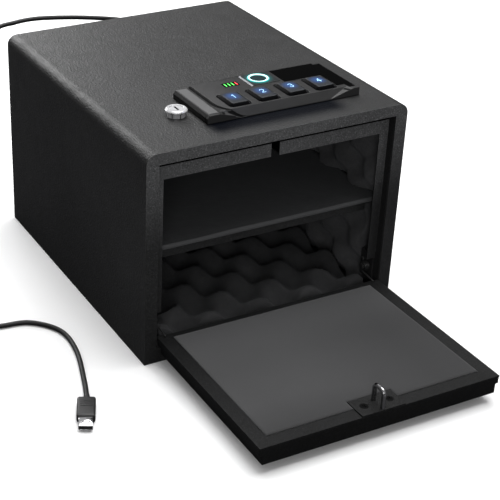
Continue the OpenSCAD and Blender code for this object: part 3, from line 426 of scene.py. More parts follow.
def gloss(name, base=0.0012, rough=0.13, tint=(1, 1, 1.05)):
    s = Shader(name, 0.0004)
    dust = s.noise(1900, 2)
    wipe = s.noise(50, 5, 0.7, src=s.vec((1, 5, 1), rot=(0, 0, 0.7)))
    col = s.mix(s.remap(dust, 0.66, 0.8, 0, 0.4), grey(base, tint), grey(0.010))
    s.bump(s.noise(140, 2), 0.03, 0.0003)
    s.set(color=col, rough=s.math("ADD", s.remap(wipe, 0.35, 0.75, rough * 0.7, rough * 1.8), s.remap(dust, 0.66, 0.8, 0, 0.2)), spec=0.5, ior=1.05)
    return s.done()


def chrome(name):
    """Bright plating with a few dark vertical reflections round the barrel."""
    s = Shader(name, 0.0006)
    geo = s.add("ShaderNodeNewGeometry")
    nx, ny, nz = (s.axis(k, geo.outputs["Normal"]) for k in range(3))
    side = s.remap(s.math("ABSOLUTE", nz), 0.35, 0.75, 1.0, 0.0)
    ang = s.math("ARCTAN2", ny, nx)
    streak = s.remap(s.math("SINE", s.math("MULTIPLY", ang, 7.0)), 0.80, 0.97, 0.0, 1.0, smooth=True)
    thin = s.remap(s.math("SINE", s.math("ADD", s.math("MULTIPLY", ang, 19.0), 1.3)), 0.90, 0.99, 0.0, 0.6, smooth=True)
    dark = s.math("MULTIPLY", side, s.math("MAXIMUM", streak, thin))
    cloud = s.noise(160, 4, 0.6)
    col = s.mix(s.remap(cloud, 0.3, 0.7), grey(0.66), grey(0.76))
    col = s.mix(s.math("MULTIPLY", dark, 0.9), col, grey(0.05))
    col = s.mix(s.remap(s.noise(700, 3), 0.62, 0.8, 0, 0.25), col, grey(0.3))
    # painted shade: the keyway is painted as a near-black slot on the plug's face
    sx_ = s.remap(s.math("ABSOLUTE", s.math("ADD", s.axis(0), 0.070)), 0.00085, 0.00105, 1.0, 0.0)
    sy_ = s.remap(s.math("ABSOLUTE", s.math("ADD", s.axis(1), 0.093)), 0.00395, 0.00410, 1.0, 0.0)
    slot = s.math("MULTIPLY", s.math("MULTIPLY", sx_, sy_), s.remap(s.axis(2), 0.2124, 0.2126, 1.0, 0.0))
    gap = s.math("SUBTRACT", s.math("SQRT", s.math("ADD", s.math("POWER", s.math("ADD", s.axis(0), 0.070), 2.0), s.math("POWER", s.math("ADD", s.axis(1), 0.093), 2.0))), 0.00628)
    seam = s.remap(s.math("ABSOLUTE", gap), 0.00010, 0.00022, 1.0, 0.0)
    col = s.mix(s.math("MULTIPLY", seam, s.remap(s.axis(2), 0.2105, 0.2112)), col, grey(0.25))
    col = s.mix(slot, col, grey(0.004))
    live = s.math("SUBTRACT", 1.0, slot)
    s.bump(s.noise(300, 3), 0.05, 0.0001)
    s.set(color=col, rough=s.remap(cloud, 0.3, 0.7, 0.12, 0.2), metal=s.math("MULTIPLY", live, 0.45), spec=s.math("MULTIPLY", live, 0.8))
    return s.done()


def ring_lamp(name):
    """Light guide: white inside, turning to a dim teal at the outer rim."""
    s = Shader(name, 0.0003)
    dx = s.math("SUBTRACT", s.axis(0), 0.0276)
    dy = s.math("SUBTRACT", s.axis(1), -0.0667)
    d = s.math("SQRT", s.math("ADD", s.math("MULTIPLY", dx, dx), s.math("MULTIPLY", dy, dy)))
    rim = s.remap(d, 0.0088, 0.0097, 0.0, 1.0, smooth=True)
    n = s.noise(600, 2)
    col = s.mix(rim, (0.72, 1.0, 0.98), (0.02, 0.30, 0.29))
    col = s.mix(s.remap(d, 0.0076, 0.0082, 1.0, 0.0), col, (0.10, 0.55, 0.52))
    s.set(color=col, emit=col, emit_power=s.remap(n, 0.3, 0.7, 0.95, 1.1), rough=0.3)
    return s.done()


def rubber(name, base=0.024, rough=0.5, bands=0.0, axis="Y"):
    s = Shader(name, 0.0004)
    cloud = s.noise(70, 3)
    fine = s.noise(1700, 2)
    col = s.mix(s.remap(cloud, 0.3, 0.7), grey(base * 0.85), grey(base * 1.2))
    col = s.mix(s.remap(fine, 0.6, 0.8, 0, 0.3), col, grey(base * 2.0))
    s.bump(fine, 0.1, 0.00015)
    s.set(color=col, rough=s.remap(s.noise(220, 3), 0.3, 0.7, rough - 0.05, rough + 0.08), spec=0.4, sheen=0.06, sheen_rough=0.4)
    return s.done()


def board(name):
    """Solder mask with copper runs, vias and bare pads."""
    s = Shader(name, 0.0002)
    run = s.add("ShaderNodeTexBrick")
    s.link(s.vec((1, 1, 1), rot=(0, 0, 0.0)), run.inputs["Vector"])
    run.inputs["Scale"].default_value = 260
    run.inputs["Mortar Size"].default_value = 0.06
    run.inputs["Color1"].default_value = (0, 0, 0, 1)
    run.inputs["Color2"].default_value = (0, 0, 0, 1)
    run.inputs["Mortar"].default_value = (1, 1, 1, 1)
    gate = s.remap(s.noise(90, 1), 0.45, 0.5)
    tr = s.math("MULTIPLY", run.outputs["Fac"], gate)
    vias = s.remap(s.voronoi(300), 0.0, 0.16, 1.0, 0.0)
    mask = s.mix(s.remap(s.noise(25, 2), 0.3, 0.7), (0.008, 0.060, 0.026), (0.011, 0.085, 0.034))
    col = s.mix(s.math("MULTIPLY", tr, 0.6), mask, (0.03, 0.17, 0.06))
    col = s.mix(vias, col, (0.42, 0.36, 0.22))
    # parts under the bay's board and its spacers, told apart by height and place
    z, x = s.axis(2), s.axis(0)
    under = s.remap(z, 0.19590, 0.19596, 1.0, 0.0)
    above = s.math("MULTIPLY", s.remap(z, 0.19764, 0.19770), s.remap(z, 0.2040, 0.2042, 1.0, 0.0))
    can = s.math("MAXIMUM", s.remap(x, 0.0925, 0.0927), s.math("MULTIPLY", s.remap(x, 0.0662, 0.0664, 1.0, 0.0), s.remap(s.axis(1), -0.032, -0.030)))
    tip = s.math("MULTIPLY", can, s.math("MAXIMUM", s.remap(z, 0.18630, 0.18635, 1.0, 0.0), s.math("MULTIPLY", s.remap(z, 0.18880, 0.18885, 1.0, 0.0), s.remap(x, 0.0662, 0.0664, 1.0, 0.0))))
    dust = s.noise(700, 2)
    body = s.mix(can, s.mix(s.remap(dust, 0.3, 0.7), (0.010, 0.010, 0.011), (0.016, 0.016, 0.017)), s.mix(s.remap(dust, 0.3, 0.7), (0.010, 0.016, 0.034), (0.014, 0.022, 0.045)))
    body = s.mix(tip, body, (0.55, 0.55, 0.56))
    col = s.mix(under, col, body)
    col = s.mix(above, col, (0.62, 0.61, 0.58))
    bare = s.math("SUBTRACT", 1.0, s.math("MAXIMUM", under, above))
    s.bump(s.math("MULTIPLY", s.math("ADD", tr, vias), bare), 0.3, 0.0001)
    shiny = s.math("MAXIMUM", s.math("MULTIPLY", s.math("MULTIPLY", vias, bare), 0.8), s.math("MULTIPLY", tip, 0.9))
    s.set(color=col, rough=s.remap(vias, 0, 1, 0.28, 0.35), metal=shiny, spec=0.5)
    return s.done()


def coil(name):
    s = Shader(name, 0.0)
    w = s.wave(520, "Y", profile="SIN")
    col = s.mix(s.remap(w, 0.1, 0.7), (0.06, 0.012, 0.006), (0.33, 0.085, 0.03))
    col = s.mix(s.remap(s.noise(160, 3), 0.5, 0.8, 0, 0.4), col, (0.16, 0.04, 0.02))
    s.bump(w, 0.7, 0.0003)
    s.set(color=col, rough=0.32, metal=0.5, spec=0.5)
    return s.done()


def battery(name):
    """Shrink sleeve in two plain colours with bare ends, by position along the cell."""
    s = Shader(name, 0.0003)
    x = s.axis(0)
    band = s.remap(x, 0.0118, 0.0122)
    sleeve = s.mix(band, (0.020, 0.075, 0.035), (0.42, 0.30, 0.12))
    ends = s.remap(s.math("ABSOLUTE", x), 0.0246, 0.0250)
    col = s.mix(ends, sleeve, (0.62, 0.62, 0.63))
    col = s.mix(s.remap(s.noise(300, 3), 0.5, 0.8, 0, 0.25), col, (0.05, 0.05, 0.05))
    s.bump(s.noise(500, 2), 0.08, 0.0002)
    s.set(color=col, rough=s.remap(ends, 0, 1, 0.26, 0.3), metal=s.math("MULTIPLY", s.math("ADD", ends, band, clamp_it=True), 0.8), spec=0.5)
    return s.done()


def lamp(name, colour, power, edge_dark=0.0):
    s = Shader(name, 0.0)
    n = s.noise(900, 2)
    col = s.mix(s.remap(n, 0.3, 0.7), tuple(c * 0.8 for c in colour), colour)
    s.set(color=col, emit=col, emit_power=s.remap(n, 0.3, 0.7, power * 0.92, power * 1.05), rough=0.35)
    return s.done()


# ------------------------------------------------------------------ materials
M = {}
M["powder_black"] = powder("powder_black", kind="shell")
# powder_door and powder_recess are the powder coat with painted light and shade set by kind
M["powder_door"] = powder("powder_door", base=0.0088, rough=0.55, grain=0.40, spec=0.12, kind="door")
M["powder_recess"] = powder("powder_recess", base=0.0115, rough=0.5, grain=0.40, spec=0.34, kind="recess")
M["striker_black"] = powder("striker_black", base=0.0050, rough=0.5, grain=0.9, spec=0.22, wear=0.02, scale=900.0)
M["screw_black"] = powder("screw_black", base=0.0012, rough=0.5, grain=0.5, spec=0.06, wear=0.012, scale=900.0)
M["loop_steel"] = metal("loop_steel", 0.34, 0.16, "Z", lines=0.10, blotch=0.15, dirt=0.2)
M["hinge_steel"] = oxide("hinge_steel", 0.024, 0.42, 0.20)
M["black_steel"] = oxide("black_steel", 0.020, 0.36, 0.26)
M["zinc_steel"] = metal("zinc_steel", 0.46, 0.33, "X", tint=(1.0, 1.0, 0.98), blotch=0.14)
M["spring_steel"] = metal("spring_steel", 0.40, 0.26, "O", lines=0.15)
M["polished_steel"] = metal("polished_steel", 0.70, 0.13, "Y", lines=0.10, blotch=0.05, dirt=0.1)
M["lock_chrome"] = chrome("lock_chrome")
M["pad_foam"] = pad("pad_foam", 0.031)
# shelf_foam: the dark base is painted shade over the shelf top; the front edge is painted light
M["shelf_foam"] = foam("shelf_foam", 0.015, 1500, 0.5, 0.22, variation=0.12, front=-0.1345)
M["wave_foam"] = foam("wave_foam", 0.040, sheen=0.10)
# painted light: a paler copy of wave_foam for the right wall's foam
M["wave_foam_side"] = foam("wave_foam_side", 0.074, sheen=0.12)
M["black_plastic"] = plastic("black_plastic", 0.016, 0.44)
M["keypad_plastic"] = housing_plastic("keypad_plastic")
M["trim_silver"] = plastic("trim_silver", 0.090, 0.34, 2100, 0.10, tint=(1, 1, 1.01), spec=0.5, wear=0.3)
M["gloss_black"] = gloss("gloss_black")
M["button_rubber"] = rubber("button_rubber", 0.09, 0.55)
M["circuit_board"] = board("circuit_board")
M["coil_tape"] = coil("coil_tape")
M["battery_wrap"] = battery("battery_wrap")
M["cable_rubber"] = rubber("cable_rubber", 0.0065, 0.50)
M["ring_light"] = ring_lamp("ring_light")


def sensor_glass():
    s = Shader("sensor_glass", 0.0003)
    fine = s.wave(1400, "Y", distort=3.0, detail=1.0)
    col = s.mix(s.remap(fine, 0.3, 0.7, 0, 0.5), (0.010, 0.022, 0.024), (0.020, 0.045, 0.050))
    s.set(color=col, rough=s.remap(s.noise(300, 2), 0.3, 0.7, 0.07, 0.14), spec=0.5, ior=1.16)
    return s.done()


def status_led():
    """Dark window strip with four raised light bars, three green and one red, told apart by position."""
    s = Shader("status_led", 0.0001)
    red = s.remap(s.axis(0), 0.0018, 0.0019)
    lit = s.remap(s.axis(2), 0.21284, 0.21290)
    cell = s.math("ABSOLUTE", s.math("SUBTRACT", s.math("MODULO", s.math("ADD", s.axis(0), 0.0092), 0.0037), 0.00185))
    lit = s.math("MULTIPLY", lit, s.remap(cell, 0.00040, 0.00065, 1.0, 0.0))
    col = s.mix(red, (0.10, 0.90, 0.12), (0.95, 0.05, 0.06))
    end = s.math("ABSOLUTE", s.math("SUBTRACT", s.axis(1), -0.0686))
    power = s.math("MULTIPLY", s.remap(end, 0.0008, 0.0031, 0.95, 0.2), s.remap(s.noise(1200, 2), 0.3, 0.7, 0.9, 1.15))
    hot = s.mix(s.remap(end, 0.0, 0.0016, 0.4, 0.0), col, (1, 1, 1))
    s.set(color=s.mix(lit, s.mix(s.remap(s.noise(900, 2), 0.3, 0.7), (0.0006, 0.0006, 0.0006), (0.0015, 0.0015, 0.0015)), col),
          emit=hot, emit_power=s.math("MULTIPLY", power, lit), rough=0.3, spec=0.5, ior=1.02)
    return s.done()


def key_cap(name):
    """Satin cap that a blue lamp lights from below round its numeral; painted shade darkens the side walls, and those
    turned to +x and +y are painted lighter.
    """
    s = Shader(name, 0.0004)
    geo = s.add("ShaderNodeNewGeometry")
    nxw, nyw = s.axis(0, geo.outputs["Normal"]), s.axis(1, geo.outputs["Normal"])
    up = s.remap(s.axis(2, geo.outputs["Normal"]), 0.84, 0.985, smooth=True)
    # painted light on the side walls turned to +x and +y; the others keep painted shade
    lit = s.math("MAXIMUM", s.remap(nxw, 0.25, 0.6, 0.0, 1.0), s.remap(nyw, 0.25, 0.6, 0.0, 1.0))
    gx, gy = s.axis(0, s.gen), s.axis(1, s.gen)
    fine = s.noise(1900, 2, 0.55)
    dx = s.math("SUBTRACT", gx, 0.50)
    dy = s.math("SUBTRACT", gy, 0.56)
    d = s.math("SQRT", s.math("ADD", s.math("MULTIPLY", dx, dx), s.math("MULTIPLY", s.math("MULTIPLY", dy, dy), 1.2)))
    glow = s.remap(d, 0.02, 0.40, 1.0, 0.0, smooth=True)
    top = s.mix(s.remap(fine, 0.35, 0.75, 0, 0.3), (0.012, 0.014, 0.018), (0.026, 0.030, 0.036))
    col = s.mix(up, s.mix(lit, (0.0015, 0.0015, 0.0018), (0.030, 0.030, 0.032)), top)
    col = s.mix(s.math("MULTIPLY", s.edges(0.0008, 0.05, 0.4, 700), 0.06), col, (0.08, 0.09, 0.10))
    s.bump(fine, 0.12, 0.0002)
    s.set(color=col, rough=0.38, spec=s.remap(up, 0, 1, 0.02, 0.30), emit=(0.012, 0.120, 0.46),
          emit_power=s.math("MULTIPLY", s.math("MULTIPLY", glow, up), 0.62))
    return s.done()


M["sensor_glass"] = sensor_glass()
M["status_led"] = status_led()
M["button_plastic"] = key_cap("button_plastic")
M["digit"] = lamp("digit", (0.42, 0.72, 1.0), 0.72)


def guide_plastic():
    """Gloss black reader housing whose left chamfer catches the light."""
    s = Shader("guide_plastic", 0.0004)
    geo = s.add("ShaderNodeNewGeometry")
    # painted highlight on the left chamfer
    tilt = s.remap(s.axis(0, geo.outputs["True Normal"]), -0.2, -0.5, 0.0, 1.0)
    onit = s.math("MULTIPLY", tilt, s.remap(s.axis(2), 0.2118, 0.2120))
    fine = s.noise(1500, 2)
    dx = s.math("SUBTRACT", s.axis(0), 0.0276)
    dy = s.math("SUBTRACT", s.axis(1), -0.0667)
    d = s.math("SQRT", s.math("ADD", s.math("MULTIPLY", dx, dx), s.math("MULTIPLY", dy, dy)))
    # painted glow: the ring lamp's teal light spilling onto the housing
    spill = s.remap(d, 0.0102, 0.0150, 1.0, 0.0, smooth=True)
    base = s.mix(s.remap(fine, 0.3, 0.7), (0.006, 0.008, 0.009), (0.011, 0.014, 0.015))
    col = s.mix(onit, base, (0.24, 0.24, 0.26))
    s.bump(fine, 0.08, 0.0002)
    s.set(color=col, rough=0.3, spec=0.3, emit=(0.0, 0.11, 0.11), emit_power=s.math("MULTIPLY", spill, 0.7))
    return s.done()


M["guide_plastic"] = guide_plastic()

SLOT = {m["slot"] for m in frame["record"]["materials"]}
NODE_SLOT = {}
for n, o in NODES.items():
    for sl in o.material_slots:
        base = sl.material.name.split(".")[0] if sl.material else ""
        for k in SLOT:
            if base == k or base.startswith(k):
                NODE_SLOT.setdefault(n, k)
OVERRIDE = {"door_panel": "powder_door", "door_inner_plate": "powder_door", "door_frame": "powder_recess", "sensor_bezel": "guide_plastic", "striker_plate": "striker_black", "striker_screws": "screw_black", "striker_loop": "loop_steel", "spring_brackets": "black_steel"}
for n, o in NODES.items():
    want = OVERRIDE.get(n) or NODE_SLOT.get(n)
    if want is None or want not in M:
        print("NO MATERIAL FOR", n, [sl.material.name if sl.material else None for sl in o.material_slots])
        want = "black_plastic"
    if not o.material_slots:
        o.data.materials.append(M[want])
    for sl in o.material_slots:
        sl.material = M[want]


# real rounded edges on the sheet and moulded parts whose edges are long enough to take them
ROUNDED = {"door_panel": 0.9, "keypad_housing": 0.35, "keypad_trim": 0.3, "keypad_gloss": 0.12, "sensor_bezel": 0.3, "sensor_ring": 0.4,
           "sensor_window": 0.2, "lock_body": 0.3, "lock_plug": 0.15, "status_lights": 0.1, "power_socket": 0.25}
for n, r in ROUNDED.items():
    w = NODES[n].modifiers.new("weld", "WELD")
    w.merge_threshold = 1e-6
    bv = NODES[n].modifiers.new("round", "BEVEL")
    bv.width = r * MM
    bv.segments = 3
    bv.limit_method = "ANGLE"
    bv.angle_limit = math.radians(32)
    bv.use_clamp_overlap = False


# ------------------------------------------------------------------ mesh kit
def piece(name, verts, faces, body, slot, mat, replaces=(), smooth=True, angle=None, ride=True):
    me = bpy.data.meshes.new(name)
    me.from_pydata([tuple(v) for v in verts], [], faces)
    me.validate()
    bm = bmesh.new()
    bm.from_mesh(me)
    bmesh.ops.remove_doubles(bm, verts=bm.verts, dist=1e-7)
    bmesh.ops.recalc_face_normals(bm, faces=bm.faces)
    for f in bm.faces:
        f.smooth = smooth
    if angle is not None:
        for e in bm.edges:
            e.smooth = not (len(e.link_faces) == 2 and e.calc_face_angle(0) > math.radians(angle))
    bm.to_mesh(me)
    bm.free()
    o = bpy.data.objects.new(name, me)
    bpy.context.scene.collection.objects.link(o)
    me.materials.append(M[mat])
    if ride:
        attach(o, body)
    if replaces:
        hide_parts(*replaces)
    return o


def from_bm(name, bm, body, mat, replaces=(), angle=35, ride=True):
    me = bpy.data.meshes.new(name)
    bmesh.ops.recalc_face_normals(bm, faces=bm.faces)
    for f in bm.faces:
        f.smooth = True
    for e in bm.edges:
        e.smooth = not (len(e.link_faces) == 2 and e.calc_face_angle(0) > math.radians(angle))
    bm.to_mesh(me)
    bm.free()
    o = bpy.data.objects.new(name, me)
    bpy.context.scene.collection.objects.link(o)
    me.materials.append(M[mat])
    if ride:
        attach(o, body)
    if replaces:
        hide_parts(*replaces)
    return o


def spline(pts, m):
    """Catmull-Rom through pts, m steps a span."""
    out = []
    n = len(pts)
    for i in range(n - 1):
        a, b, c, d = pts[max(i - 1, 0)], pts[i], pts[i + 1], pts[min(i + 2, n - 1)]
        for k in range(m):
            t = k / m
            out.append(0.5 * ((2 * b) + (c - a) * t + (2 * a - 5 * b + 4 * c - d) * t * t + (3 * b - a - 3 * c + d) * t ** 3))
    out.append(pts[-1])
    return out


def sweep(path, radius, n=16, cap=3):
    """Round closed tube along a path; radius is a number or a function of 0..1. Ends are domed."""
    path = [Vector(p) for p in path]
    m = len(path)
    length = [0.0]
    for a, b in zip(path, path[1:]):
        length.append(length[-1] + (b - a).length)
    rad = (lambda t: radius) if not callable(radius) else radius
    tang = [(path[min(i + 1, m - 1)] - path[max(i - 1, 0)]).normalized() for i in range(m)]
    u = Vector((0.31, 0.42, 0.85))
    rings = []
    frames = []
    for i in range(m):
        u = (u - tang[i] * u.dot(tang[i])).normalized()
        frames.append((u.copy(), tang[i].cross(u)))
    r0, r1 = rad(0.0), rad(1.0)
    for k in range(cap, 0, -1):
        a = math.pi / 2 * k / (cap + 0.5)
        rings.append((path[0] - tang[0] * r0 * math.sin(a) * 0.6, frames[0], r0 * math.cos(a)))
    for i in range(m):
        rings.append((path[i], frames[i], rad(length[i] / length[-1])))
    for k in range(1, cap + 1):
        a = math.pi / 2 * k / (cap + 0.5)
        rings.append((path[-1] + tang[-1] * r1 * math.sin(a) * 0.6, frames[-1], r1 * math.cos(a)))
    verts, faces = [], []
    for c, (p, q), r in rings:
        for k in range(n):
            t = 2 * math.pi * k / n
            verts.append(c + r * (math.cos(t) * p + math.sin(t) * q))
    for i in range(len(rings) - 1):
        for k in range(n):
            a, b = i * n + k, i * n + (k + 1) % n
            faces.append((a, b, b + n, a + n))
    faces.append(tuple(range(n - 1, -1, -1)))
    faces.append(tuple((len(rings) - 1) * n + k for k in range(n)))
    return verts, faces


def join(*parts):
    verts, faces = [], []
    for v, f in parts:
        k = len(verts)
        verts += list(v)
        faces += [tuple(i + k for i in q) for q in f]
    return verts, faces


def block(lo, hi, r=0.0008, seg=2):
    """Rounded block as verts and faces, in metres."""
    bm = bmesh.new()
    bmesh.ops.create_cube(bm, size=1.0)
    lo, hi = Vector(lo), Vector(hi)
    for v in bm.verts:
        v.co = Vector((lo[i] + (v.co[i] + 0.5) * (hi[i] - lo[i]) for i in range(3)))
    bmesh.ops.bevel(bm, geom=bm.edges[:], offset=r, segments=seg, profile=0.5, affect="EDGES")
    bm.verts.index_update()
    out = [v.co.copy() for v in bm.verts], [tuple(v.index for v in f.verts) for f in bm.faces]
    bm.free()
    return out


def lathe(profile, n=32, centre=(0, 0, 0), axis="Z"):
    """Closed body of revolution from (radius, height) pairs in metres."""
    verts, faces = [], []
    c = Vector(centre)
    m = len(profile)
    for r, h in profile:
        for k in range(n):
            t = 2 * math.pi * k / n
            p = {"Z": (r * math.cos(t), r * math.sin(t), h), "Y": (r * math.cos(t), h, r * math.sin(t)), "X": (h, r * math.cos(t), r * math.sin(t))}[axis]
            verts.append(c + Vector(p))
    for i in range(m - 1):
        for k in range(n):
            a, b = i * n + k, i * n + (k + 1) % n
            faces.append((a, b, b + n, a + n))
    faces.append(tuple(range(n - 1, -1, -1)))
    faces.append(tuple((m - 1) * n + k for k in range(n)))
    return verts, faces


# ------------------------------------------------------------------ convoluted foam
def wave_panel(origin, u, v, w, lu, lv, base, depth, pitch, phase=(0.0, 0.0), stepsize=0.0016, holes=(), seed=0.0, bottom=0.0):
    """Closed slab on a plane: height along w is base plus an egg-crate wave. holes are (u, v, radius) wells cut to the plane."""
    origin, u, v, w = Vector(origin), Vector(u), Vector(v), Vector(w)
    nu, nv = max(4, round(lu / stepsize)), max(4, round(lv / stepsize))
    top, bot = [], []
    for j in range(nv + 1):
        for i in range(nu + 1):
            a, b = lu * i / nu, lv * j / nv
            su = math.sin(2 * math.pi * (a / pitch + phase[0]))
            sv = math.sin(2 * math.pi * (b / pitch + phase[1]))
            s = su * sv
            s = math.copysign(abs(s) ** 0.80, s)
            p = origin + a * u + b * v
            q = noise.noise(Vector((p.x * 38 + seed, p.y * 38, p.z * 38)))
            q2 = noise.noise(Vector((p.x * 130 + seed, p.y * 130, p.z * 130)))
            h = base + depth * (0.5 + 0.5 * s) * (0.955 + 0.045 * q) + 0.00035 * q2
            e = min(a, lu - a, b, lv - b)
            h = bottom + (h - bottom) * (1 - 0.10 * (1 - step(e, 0.0, 0.0035)))
            for hu, hv, hr in holes:
                d = math.hypot(a - hu, b - hv)
                h = bottom + 0.0004 + (h - bottom - 0.0004) * step(d, hr, hr + 0.0022)
            top.append(p + w * h)
            bot.append(p + w * bottom)
    verts, faces = top + bot, []
    k = (nu + 1) * (nv + 1)
    row = nu + 1
    for j in range(nv):
        for i in range(nu):
            a = j * row + i
            faces.append((a, a + 1, a + 1 + row, a + row))
    # one face closes the flat side, through the rim only
    rim = [i for i in range(nu + 1)] + [j * row + nu for j in range(1, nv + 1)] + [nv * row + i for i in range(nu - 1, -1, -1)] + [j * row for j in range(nv - 1, 0, -1)]
    for a, b in zip(rim, rim[1:] + rim[:1]):
        faces.append((a, b, b + k, a + k))
    faces.append(tuple(k + i for i in rim))
    used = sorted({i for f in faces for i in f})
    new = {i: n for n, i in enumerate(used)}
    return [verts[i] for i in used], [tuple(new[i] for i in f) for f in faces]


def span(node):
    lo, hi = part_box(node)
    return lo, hi


def islands(node):
    """Boxes of a CAD node's separate solids, lowest first."""
    bm = bmesh.new()
    bm.from_mesh(NODES[node].data)
    bmesh.ops.remove_doubles(bm, verts=bm.verts, dist=1e-6)
    seen, out = set(), []
    for v in bm.verts:
        if v in seen:
            continue
        stack, cos = [v], []
        seen.add(v)
        while stack:
            a = stack.pop()
            cos.append(a.co.copy())
            for e in a.link_edges:
                b = e.other_vert(a)
                if b not in seen:
                    seen.add(b)
                    stack.append(b)
        out.append((Vector((min(c[i] for c in cos) for i in range(3))), Vector((max(c[i] for c in cos) for i in range(3)))))
    bm.free()
    out.sort(key=lambda b: (round(b[0].z, 4), b[0].x))
    return out


PITCH = 0.0490
EX, EY, EZ = Vector((1, 0, 0)), Vector((0, 1, 0)), Vector((0, 0, 1))


def side_foam(node, sign):
    parts = []
    for k, (lo, hi) in enumerate(islands(node)):
        t = hi.x - lo.x
        if sign > 0:
            org, w = Vector((hi.x, lo.y, lo.z)), -EX
        else:
            org, w = Vector((lo.x, lo.y, lo.z)), EX
        parts.append(wave_panel(org, EY, EZ, w, hi.y - lo.y, hi.z - lo.z, t * 0.26, t * 0.70, PITCH, (0.10 + 0.37 * k, 0.31), 0.0017, seed=3.1 * k + sign))
    return piece(node + "_wave", *join(*parts), "cabinet", "wave_foam", "wave_foam_side" if sign > 0 else "wave_foam", (node,))


side_foam("foam_right", 1)
side_foam("foam_left", -1)

# back wall: two sheets, with a well round each wall fixing
parts = []
holes_xz = [(sx * 0.085, z) for sx in (-1, 1) for z in (0.062, 0.142)]
for k, (lo, hi) in enumerate(islands("foam_back")):
    t = hi.y - lo.y
    wells = [(x - lo.x, z - lo.z, 0.0095) for x, z in holes_xz if lo.z - 0.01 < z < hi.z + 0.01]
    parts.append(wave_panel((lo.x, hi.y, lo.z), EX, EZ, -EY, hi.x - lo.x, hi.z - lo.z, t * 0.26, t * 0.70, PITCH, (0.2, 0.12), 0.0020, wells, seed=8.0 + k))
piece("foam_back_wave", *join(*parts), "cabinet", "wave_foam", "wave_foam", ("foam_back",))

# floor, with a well round each floor fixing
lo, hi = span("foam_floor")
t = hi.z - lo.z
wells = [(sx * 0.085 - lo.x, sy * 0.105 - lo.y, 0.0095) for sx in (-1, 1) for sy in (-1, 1)]
piece("foam_floor_wave", *wave_panel(lo, EX, EY, EZ, hi.x - lo.x, hi.y - lo.y, t * 0.30, t * 0.69, PITCH * 1.08, (0.22, 0.20), 0.0017, wells, seed=5.0), "cabinet", "wave_foam", "wave_foam", ("foam_floor",))

# ceiling
lo, hi = span("foam_ceiling")
t = hi.z - lo.z
piece("foam_ceiling_wave", *wave_panel((lo.x, lo.y, hi.z), EX, EY, -EZ, hi.x - lo.x, hi.y - lo.y, t * 0.26, min(t * 0.70, 0.018), PITCH, (0.0, 0.1), 0.0022, seed=6.0), "cabinet", "wave_foam", "wave_foam", ("foam_ceiling",))


# ------------------------------------------------------------------ shelf pad: a sheet of foam with a soft rolled front edge
def shelf_pad():
    lo, hi = span("shelf_pad")
    t = hi.z - lo.z
    r = t * 0.5
    nu, nv = 120, 110
    prof = []
    for k in range(0, 13):                       # front roll, from the underside up to the top
        a = -math.pi / 2 + math.pi * k / 12
        prof.append((lo.y + r - r * math.cos(a) * 0.92, lo.z + r + r * math.sin(a)))
    for k in range(1, nv + 1):
        prof.append((lo.y + r + (hi.y - lo.y - r) * k / nv, hi.z))
    prof.append((hi.y, lo.z))
    verts, faces = [], []
    m = len(prof)
    for i in range(nu + 1):
        x = lo.x + (hi.x - lo.x) * i / nu
        e = min(x - lo.x, hi.x - x)
        for y, z in prof:
            up = (z - lo.z) / t
            q = noise.noise(Vector((x * 22, y * 22, 4.0))) * 0.0005 + noise.noise(Vector((x * 90, y * 90, 9.0))) * 0.00018
            d = up * (q - 0.0007) - up * 0.0007 * (1 - step(e, 0, 0.004))
            verts.append((x, y, z + d))
    for i in range(nu):
        for k in range(m - 1):
            a = i * m + k
            faces.append((a, a + 1, a + 1 + m, a + m))
        faces.append((i * m + m - 1, i * m, (i + 1) * m, (i + 1) * m + m - 1))
    faces.append(tuple(range(m)))
    faces.append(tuple(nu * m + k for k in range(m - 1, -1, -1)))
    return piece("shelf_pad_foam", verts, faces, "cabinet", "pad_foam", "shelf_foam", ("shelf_pad",))


shelf_pad()


